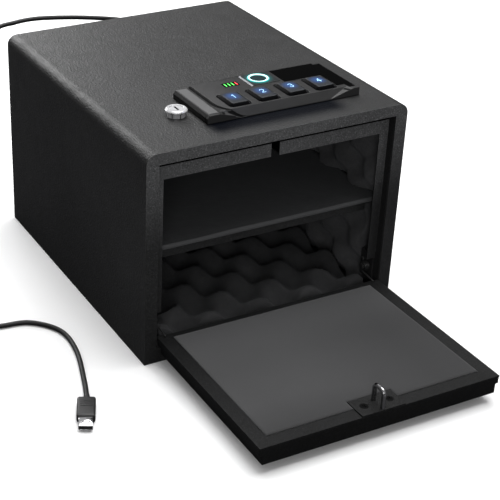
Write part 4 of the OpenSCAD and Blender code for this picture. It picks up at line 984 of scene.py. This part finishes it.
# ------------------------------------------------------------------ door pad: thin foam with soft cut edges and a notch round the striker
def door_pad():
    lo, hi = span("door_pad")
    nx0, nx1, ny = -0.0219, 0.0213, -0.3089
    xs = sorted({round(lo.x + (hi.x - lo.x) * i / 96, 6) for i in range(97)} | {nx0, nx1, lo.x + 0.0006, hi.x - 0.0006, nx0 - 0.0006, nx1 + 0.0006})
    ys = sorted({round(lo.y + (hi.y - lo.y) * i / 72, 6) for i in range(73)} | {ny, ny + 0.0006, lo.y + 0.0006, hi.y - 0.0006})

    def keep(x, y):
        return not (nx0 < x < nx1 and y < ny)

    def edge(x, y):
        e = min(x - lo.x, hi.x - x, hi.y - y, y - lo.y)
        if y < ny:
            e = min(e, nx0 - x if x <= nx0 else x - nx1)
        elif nx0 <= x <= nx1:
            e = min(e, y - ny)
        else:
            e = min(e, math.hypot(max(nx0 - x, x - nx1, 0), y - ny))
        return max(e, 0.0)
    bm = bmesh.new()
    grid = {}
    for x in xs:
        for y in ys:
            q = noise.noise(Vector((x * 16, y * 16, 2.0))) * 0.00016 + noise.noise(Vector((x * 70, y * 70, 7.0))) * 0.00006
            z = hi.z - 0.00022 + q - 0.0004 * (1 - step(edge(x, y), 0, 0.0007))
            grid[x, y] = z
    tv, bv = {}, {}

    def top(x, y):
        if (x, y) not in tv:
            tv[x, y] = bm.verts.new((x, y, grid[x, y]))
        return tv[x, y]

    def bot(x, y):
        if (x, y) not in bv:
            bv[x, y] = bm.verts.new((x, y, lo.z))
        return bv[x, y]
    for x0, x1 in zip(xs, xs[1:]):
        for y0, y1 in zip(ys, ys[1:]):
            if keep((x0 + x1) / 2, (y0 + y1) / 2):
                bm.faces.new((top(x0, y0), top(x1, y0), top(x1, y1), top(x0, y1)))
    rim = [e for e in bm.edges if len(e.link_faces) == 1]
    back = {v: k for k, v in tv.items()}
    for e in rim:
        a, b = back[e.verts[0]], back[e.verts[1]]
        bm.faces.new((e.verts[0], e.verts[1], bot(*b), bot(*a)))
    low = [e for e in bm.edges if len(e.link_faces) == 1]
    bmesh.ops.holes_fill(bm, edges=low, sides=0)
    return from_bm("door_pad_foam", bm, "door", "pad_foam", ("door_pad",), angle=50)


door_pad()


# ------------------------------------------------------------------ springs
def door_spring(sign):
    x0, x1, spy, spz, mr = 0.116, 0.1104, -0.138, 0.033, 0.0043
    pts = [Vector((x0, spy + 0.0075, spz + 0.0055)), Vector((x0, spy + 0.0058, spz + 0.0028))]
    turns = 3.25
    for i in range(121):
        f = i / 120
        a = math.radians(f * turns * 360)
        pts.append(Vector((x0 + (x1 - x0) * f, spy + mr * math.cos(a), spz - mr * math.sin(a))))
    pts += [Vector((x1, spy - 0.006, spz - 0.0051)), Vector((x1, spy - 0.013, spz - 0.0057)), Vector((x1, -0.1575, 0.0268))]
    path = [pts[0]] + pts[1:2] + pts[2:]
    leg = spline([path[-4], path[-3], path[-2], path[-1]], 8)
    path = path[:-4] + leg
    if sign < 0:
        path = [Vector((-p.x, p.y, p.z)) for p in path]
    return sweep(path, 0.0008, 12, 2)


o = piece("door_springs_wire", *join(door_spring(1), door_spring(-1)), "cabinet", "spring_steel", "black_steel", ("door_springs",), ride=False)
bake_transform(o)


def latch_spring():
    px, py = -0.001, -0.0995
    pts = [Vector((px + 0.0082, py + 0.002, 0.192)), Vector((px + 0.0066, py + 0.0022, 0.1934))]
    for i in range(109):
        a = math.radians(20 + i / 108 * 3 * 360)
        pts.append(Vector((px + 0.0056 * math.cos(a), py + 0.0056 * math.sin(a), 0.194 - 0.0056 * i / 108)))
    pts += [Vector((px - 0.001, py + 0.0062, 0.1883)), Vector((px - 0.006, py + 0.0066, 0.1881)), Vector((px - 0.014, py + 0.008, 0.188))]
    return sweep(pts, 0.0005, 10, 2)


piece("latch_spring_wire", *latch_spring(), "cabinet", "spring_steel", "spring_steel", ("latch_spring",))


# ------------------------------------------------------------------ power lead
PSX, PSZ, YB = 0.025, 0.184, 0.156
LR = 0.00225


def lead_points():
    raw = [[25, 178.6, 184], [25, 181.5, 184], [21, 185.5, 185.2], [11, 188, 190], [-20, 189, 196.5], [-53, 189, 202], [-87, 189, 205.6], [-110, 189, 204.7], [-130, 188, 201.5],
           [-162, 182, 184], [-198, 164, 128], [-228, 126, 56], [-252, 72, 12], [-265, 26, 2.45],
           [-263, -14, 2.45], [-246, -38, 2.45], [-223, -44, 2.45], [-196, -50, 2.45], [-176, -75, 2.45],
           [-176, -111.5, 2.45], [-189, -158, 2.6], [-197.5, -182, 3.6]]
    return [Vector(p) * MM for p in raw]


piece("power_lead_jacket", *sweep(spline(lead_points(), 14), LR, 20, 2), "cabinet", "cable_rubber", "cable_rubber", ("power_lead",))


# ------------------------------------------------------------------ moulded plugs
def turned(part, angle=0.0, move=(0, 0, 0)):
    m = Matrix.Translation(Vector(move)) @ Matrix.Rotation(math.radians(angle), 4, "Z")
    return [m @ Vector(v) for v in part[0]], part[1]


def boot(y0, y1, r0, r1, z, ribs=3):
    """Ribbed strain relief along Y."""
    prof = [(0.0008, y0)]
    n = ribs * 6
    for k in range(n + 1):
        t = k / n
        groove = 0.00038 if (k % 6) in (2, 3) and 1 < k < n - 1 else 0.0
        prof.append((r0 + (r1 - r0) * t - groove, y0 + (y1 - y0) * t))
    prof.append((0.0008, y1))
    return lathe(prof, 24, (0, 0, z), "Y")


def shell_tube(hx, hz, y0, y1, depth, wall, z, r=0.0005):
    """Folded metal plug shell along Y, open at y0: one closed solid with a real mouth."""
    def ring(ax, az, y, rr_):
        out = []
        for sx, sz, a0 in ((1, 1, 0), (-1, 1, 90), (-1, -1, 180), (1, -1, 270)):
            for k in range(4):
                a = math.radians(a0 + 30 * k)
                out.append((sx * (ax - rr_) + rr_ * math.cos(a), y, z + sz * (az - rr_) + rr_ * math.sin(a)))
        return out
    rings = [ring(hx, hz, y1, r), ring(hx, hz, y0 + 0.0003, r), ring(hx - 0.0002, hz - 0.0002, y0, r),
             ring(hx - wall, hz - wall, y0 + 0.0002, r * 0.6), ring(hx - wall, hz - wall, y0 + depth, r * 0.6)]
    m = len(rings[0])
    verts = [v for q in rings for v in q]
    faces = [(i * m + k, i * m + (k + 1) % m, (i + 1) * m + (k + 1) % m, (i + 1) * m + k) for i in range(len(rings) - 1) for k in range(m)]
    faces += [tuple(range(m - 1, -1, -1)), tuple((len(rings) - 1) * m + k for k in range(m))]
    return verts, faces


USB = (-25.5, (-0.1981, -0.1832, 0.0))
zc = 0.0043
body = block((-0.0080, -0.0310, zc - 0.0042), (0.0080, -0.0034, zc + 0.0042), 0.0021, 4)
grip = [block((-0.0056 + 0.0001 * k, -0.0100 - 0.0026 * k, zc + 0.0040), (0.0056 - 0.0001 * k, -0.0088 - 0.0026 * k, zc + 0.0045), 0.0003, 2) for k in range(4)]
relief = boot(-0.0038, 0.0030, 0.0031, 0.0025, zc, 3)
piece("usb_plug_body", *turned(join(body, relief, *grip), *USB), "cabinet", "black_plastic", "black_plastic", ("lead_plug_usb",), angle=40)
shell = shell_tube(0.0060, 0.00225, -0.0430, -0.0300, 0.0100, 0.00035, zc)
dimples = [block((sx * 0.0027 - 0.0011, -0.0392, zc + 0.00205), (sx * 0.0027 + 0.0011, -0.0370, zc + 0.00232), 0.0001, 1) for sx in (-1, 1)]
piece("usb_plug_shell", *turned(join(shell, *dimples), *USB), "cabinet", "black_plastic", "polished_steel", ("lead_plug_usb",), angle=40)
tongue = block((-0.0054, -0.0424, zc - 0.0018), (0.0054, -0.0335, zc - 0.0002), 0.0002, 1)
piece("usb_plug_tongue", *turned(tongue, *USB), "cabinet", "black_plastic", "black_plastic", ("lead_plug_usb",), angle=40)

nose = block((0.0209, 0.1537, 0.1828), (0.0291, 0.1600, 0.1852), 0.0003, 2)
safe_body = block((0.0196, 0.1585, 0.1808), (0.0304, 0.1750, 0.1872), 0.0017, 4)
safe_boot = turned(boot(0.1745, 0.1790, 0.0031, 0.0026, 0.184, 2), 0, (0.025, 0, 0))
safe_grip = [block((0.0212, 0.1620 + 0.0028 * k, 0.1870), (0.0288, 0.1632 + 0.0028 * k, 0.1874), 0.00025, 2) for k in range(4)]
piece("safe_plug_body", *join(nose, safe_body, safe_boot, *safe_grip), "cabinet", "black_plastic", "black_plastic", ("lead_plug_safe",), angle=40)


# ------------------------------------------------------------------ key caps
def outline(x0, x1, y0, y1, r, n=6):
    out = []
    for cx, cy, a0 in ((x1 - r, y1 - r, 0), (x0 + r, y1 - r, 90), (x0 + r, y0 + r, 180), (x1 - r, y0 + r, 270)):
        for k in range(n + 1):
            a = math.radians(a0 + 90 * k / n)
            out.append((cx + r * math.cos(a), cy + r * math.sin(a)))
    return out


def cap(x0, x1, y0, y1, r, levels, dome):
    """Closed moulding: outlines inset level by level, then a slightly domed face."""
    verts, faces = [], []
    for inset, z in levels:
        verts += [(x, y, z) for x, y in outline(x0 + inset, x1 - inset, y0 + inset, y1 - inset, max(r - inset, 0.0004))]
    m = len(verts) // len(levels)
    last = verts[-m:]
    cx, cy, zl = (x0 + x1) / 2, (y0 + y1) / 2, levels[-1][1]
    n = len(levels)
    for s_ in (0.88, 0.70, 0.48, 0.24):
        verts += [(cx + (x - cx) * s_, cy + (y - cy) * s_, zl + dome * (1 - s_ * s_)) for x, y, _ in last]
        n += 1
    for i in range(n - 1):
        for k in range(m):
            faces.append((i * m + k, i * m + (k + 1) % m, (i + 1) * m + (k + 1) % m, (i + 1) * m + k))
    c = len(verts)
    verts.append((cx, cy, zl + dome))
    for k in range(m):
        faces.append(((n - 1) * m + k, (n - 1) * m + (k + 1) % m, c))
    faces.append(tuple(range(m - 1, -1, -1)))
    return verts, faces


for k in (1, 2, 3, 4):
    lo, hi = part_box(f"button_{k}")
    mx_, my = (lo.x + hi.x) / 2, -0.0997
    hw, hl = 0.0104, 0.0138
    zt = hi.z
    face = cap(mx_ - hw, mx_ + hw, my - hl, my + hl, 0.0034,
               [(0.0, lo.z), (0.0, zt - 0.0030), (0.00025, zt - 0.0026), (0.0021, zt - 0.00080), (0.0025, zt - 0.00046), (0.0031, zt - 0.00028)], 0.00028)
    skirt = cap(lo.x, hi.x, my - hl + 0.0016, hi.y, 0.002, [(0.0, lo.z), (0.0, lo.z + 0.0009), (0.0002, lo.z + 0.0011)], 0.0)
    piece(f"key_cap_{k}", *join(face, skirt), f"key_{k}", "button_plastic", "button_plastic", (f"button_{k}",), angle=38)


# ------------------------------------------------------------------ digits on the keys
def digit(k, strokes, centre, height, top):
    """A numeral drawn with round strokes of constant width and laid on the key's face."""
    w = height * 0.62
    parts = []
    for st in strokes:
        pts = [Vector((centre[0] + (x - 0.5) * w, centre[1] + (y - 0.5) * height, top)) for x, y in st]
        path = spline(pts, 6) if len(pts) > 2 else pts
        half = height * 0.045
        left, right = [], []
        m = len(path)
        outline = []
        for i, p in enumerate(path):
            t = (path[min(i + 1, m - 1)] - path[max(i - 1, 0)]).normalized()
            nrm = Vector((-t.y, t.x, 0))
            left.append(p + nrm * half)
            right.append(p - nrm * half)
        t0 = (path[1] - path[0]).normalized()
        t1 = (path[-1] - path[-2]).normalized()

        def cap(c, t, sgn):
            nrm = Vector((-t.y, t.x, 0))
            return [c + half * (math.cos(a) * nrm * sgn + math.sin(a) * t * sgn) for a in [math.pi * q / 6 for q in range(1, 6)]]
        n = len(left)
        verts, faces = [], []
        for a, b in zip(left, right):
            verts += [a, b]
        for i in range(n - 1):
            faces.append((2 * i, 2 * i + 1, 2 * i + 3, 2 * i + 2))
        e1 = cap(path[-1], t1, 1)
        base = len(verts)
        verts += e1
        faces.append(tuple([2 * (n - 1)] + list(range(base, base + len(e1))) + [2 * (n - 1) + 1]))
        e0 = cap(path[0], t0, -1)
        base = len(verts)
        verts += e0
        faces.append(tuple([1] + list(range(base, base + len(e0))) + [0]))
        # thickness
        thick = 0.00012
        m2 = len(verts)
        lower = [v - Vector((0, 0, thick)) for v in verts]
        count = {}
        for f in faces:
            for a, b in zip(f, f[1:] + f[:1]):
                count[tuple(sorted((a, b)))] = count.get(tuple(sorted((a, b))), 0) + 1
        side = []
        for f in faces:
            for a, b in zip(f, f[1:] + f[:1]):
                if count[tuple(sorted((a, b)))] == 1:
                    side.append((a, a + m2, b + m2, b))
        faces = faces + [tuple(i + m2 for i in reversed(f)) for f in faces] + side
        parts.append((verts + lower, faces))
    return join(*parts)


DIGITS = {
    1: [[(0.30, 0.78), (0.56, 0.98), (0.56, 0.02)]],
    2: [[(0.10, 0.76), (0.28, 0.96), (0.62, 0.98), (0.88, 0.80), (0.82, 0.56), (0.50, 0.30), (0.12, 0.03)], [(0.12, 0.03), (0.92, 0.03)]],
    3: [[(0.12, 0.84), (0.38, 0.98), (0.74, 0.93), (0.86, 0.74), (0.68, 0.56), (0.42, 0.53)], [(0.42, 0.53), (0.74, 0.49), (0.92, 0.28), (0.74, 0.06), (0.38, 0.00), (0.08, 0.14)]],
    4: [[(0.64, 0.98), (0.06, 0.30)], [(0.06, 0.30), (0.98, 0.30)], [(0.68, 0.98), (0.68, 0.02)]],
}
for k in (1, 2, 3, 4):
    lo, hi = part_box(f"button_{k}")
    cx = (lo.x + hi.x) / 2
    cy = -0.0997
    if k == 1:
        strokes = [[(0.34, 0.80), (0.60, 0.98)], [(0.60, 0.98), (0.60, 0.02)]]
    else:
        strokes = DIGITS[k]
    piece(f"digit_{k}", *digit(k, strokes, (cx + 0.0004, cy + 0.0016), 0.0070, hi.z + 0.00007), f"key_{k}", "button_plastic", "digit", smooth=False)


# ------------------------------------------------------------------ stage, light and camera
def floor():
    bm = bmesh.new()
    bmesh.ops.create_grid(bm, x_segments=40, y_segments=40, size=6.0)
    for v in bm.verts:
        v.co.z = -0.0002
    me = bpy.data.meshes.new("floor")
    bm.to_mesh(me)
    bm.free()
    o = bpy.data.objects.new("floor", me)
    bpy.context.scene.collection.objects.link(o)
    s = Shader("floor", 0.0)
    lp = s.add("ShaderNodeLightPath")
    n = s.noise(3, 2)
    pale = s.mix(s.remap(n, 0.3, 0.7), (0.90, 0.90, 0.90), (0.93, 0.93, 0.935))
    front = s.math("MULTIPLY", s.remap(s.axis(1), -0.52, -0.34, 1.0, 0.0, smooth=True), s.remap(s.axis(0), -0.35, 0.05, 0.0, 1.0, smooth=True))
    bounce = s.mix(front, (0.060, 0.060, 0.063), (0.20, 0.20, 0.205))
    col = s.mix(lp.outputs["Is Camera Ray"], bounce, pale)
    away = s.math("SQRT", s.math("ADD", s.math("POWER", s.axis(0), 2.0), s.math("POWER", s.axis(1), 2.0)))
    s.set(color=col, rough=0.9, spec=0.0, emit=(1.0, 1.0, 1.0),
          emit_power=s.math("MULTIPLY", s.remap(away, 0.9, 2.4, 0.0, 0.95, smooth=True), lp.outputs["Is Camera Ray"]))
    me.materials.append(s.done())
    o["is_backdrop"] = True
    return o


floor()


def area(name, loc, aim, size, power, colour=(1, 1, 1), size_y=None, spread=None):
    d = bpy.data.lights.new(name, "AREA")
    d.shape = "RECTANGLE"
    d.size, d.size_y = size, size_y or size
    d.energy, d.color = power, colour
    if spread:
        d.spread = math.radians(spread)
    o = bpy.data.objects.new(name, d)
    bpy.context.scene.collection.objects.link(o)
    o.location = loc
    o.rotation_euler = (Vector(aim) - Vector(loc)).to_track_quat("-Z", "Y").to_euler()
    return o


area("top_soft", (0.36, 0.08, 2.05), (0.0, -0.1, 0.0), 1.8, 58, size_y=1.8)
area("back_soft", (-0.15, 1.7, 0.92), (-0.05, 0.05, 0.2), 1.3, 19, size_y=0.7)
area("front_fill", (0.9, -1.7, 0.9), (0.0, -0.1, 0.1), 1.0, 0.8, size_y=1.0)
area("left_front", (-0.72, -1.30, 0.52), (0.05, -0.10, 0.13), 0.5, 3.7, size_y=0.5)
area("key_glow", (0.025, -0.150, 0.300), (0.025, -0.130, 0.205), 0.05, 0.004, (0.12, 0.25, 1.0), size_y=0.02)

world = bpy.data.worlds.new("studio")
bpy.context.scene.world = world
world.use_nodes = True
wt = world.node_tree
wt.nodes.clear()
wo = wt.nodes.new("ShaderNodeOutputWorld")
bg = wt.nodes.new("ShaderNodeBackground")
bc = wt.nodes.new("ShaderNodeBackground")
mx = wt.nodes.new("ShaderNodeMixShader")
lp = wt.nodes.new("ShaderNodeLightPath")
gm = wt.nodes.new("ShaderNodeNewGeometry")
sx = wt.nodes.new("ShaderNodeSeparateXYZ")
mr = wt.nodes.new("ShaderNodeMapRange")
wt.links.new(gm.outputs["Incoming"], sx.inputs[0])
wt.links.new(sx.outputs[2], mr.inputs["Value"])
mr.inputs["From Min"].default_value = -0.9
mr.inputs["From Max"].default_value = 0.05
mr.inputs["To Min"].default_value = 0.52
mr.inputs["To Max"].default_value = 0.035
wt.links.new(mr.outputs[0], bg.inputs["Strength"])
bg.inputs["Color"].default_value = (1, 1, 1, 1)
bc.inputs["Color"].default_value = (1, 1, 1, 1)
bc.inputs["Strength"].default_value = 1.0
wt.links.new(lp.outputs["Is Camera Ray"], mx.inputs[0])
wt.links.new(bg.outputs[0], mx.inputs[1])
wt.links.new(bc.outputs[0], mx.inputs[2])
wt.links.new(mx.outputs[0], wo.inputs[0])

CAM_X = -0.57445
cam_d = bpy.data.cameras.new("camera")
cam = bpy.data.objects.new("camera", cam_d)
bpy.context.scene.collection.objects.link(cam)
cam.location = (CAM_X, -1.03616, 0.67036)
cam.rotation_euler = (math.radians(61.65), math.radians(-0.02), math.radians(-25.43))
cam_d.sensor_width = 36.0
cam_d.lens = 96.3
cam_d.clip_start, cam_d.clip_end = 0.05, 60
cam_d.shift_x, cam_d.shift_y = 0.264, -0.0436
# the shift belongs to this one place of the camera: from any other place the picture is centred
for prop, val in (("shift_x", 0.264), ("shift_y", -0.0436)):
    drv = cam_d.driver_add(prop).driver
    drv.type = "SCRIPTED"
    var = drv.variables.new()
    var.name = "x"
    var.type = "TRANSFORMS"
    var.targets[0].id = cam
    var.targets[0].transform_type = "LOC_X"
    var.targets[0].transform_space = "WORLD_SPACE"
    drv.expression = f"{val} if abs(x - ({CAM_X})) < 0.0005 else 0.0"
bpy.context.scene.camera = cam
bpy.context.scene.view_settings.view_transform = "Standard"
bpy.context.scene.view_settings.look = "None"

lo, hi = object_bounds()
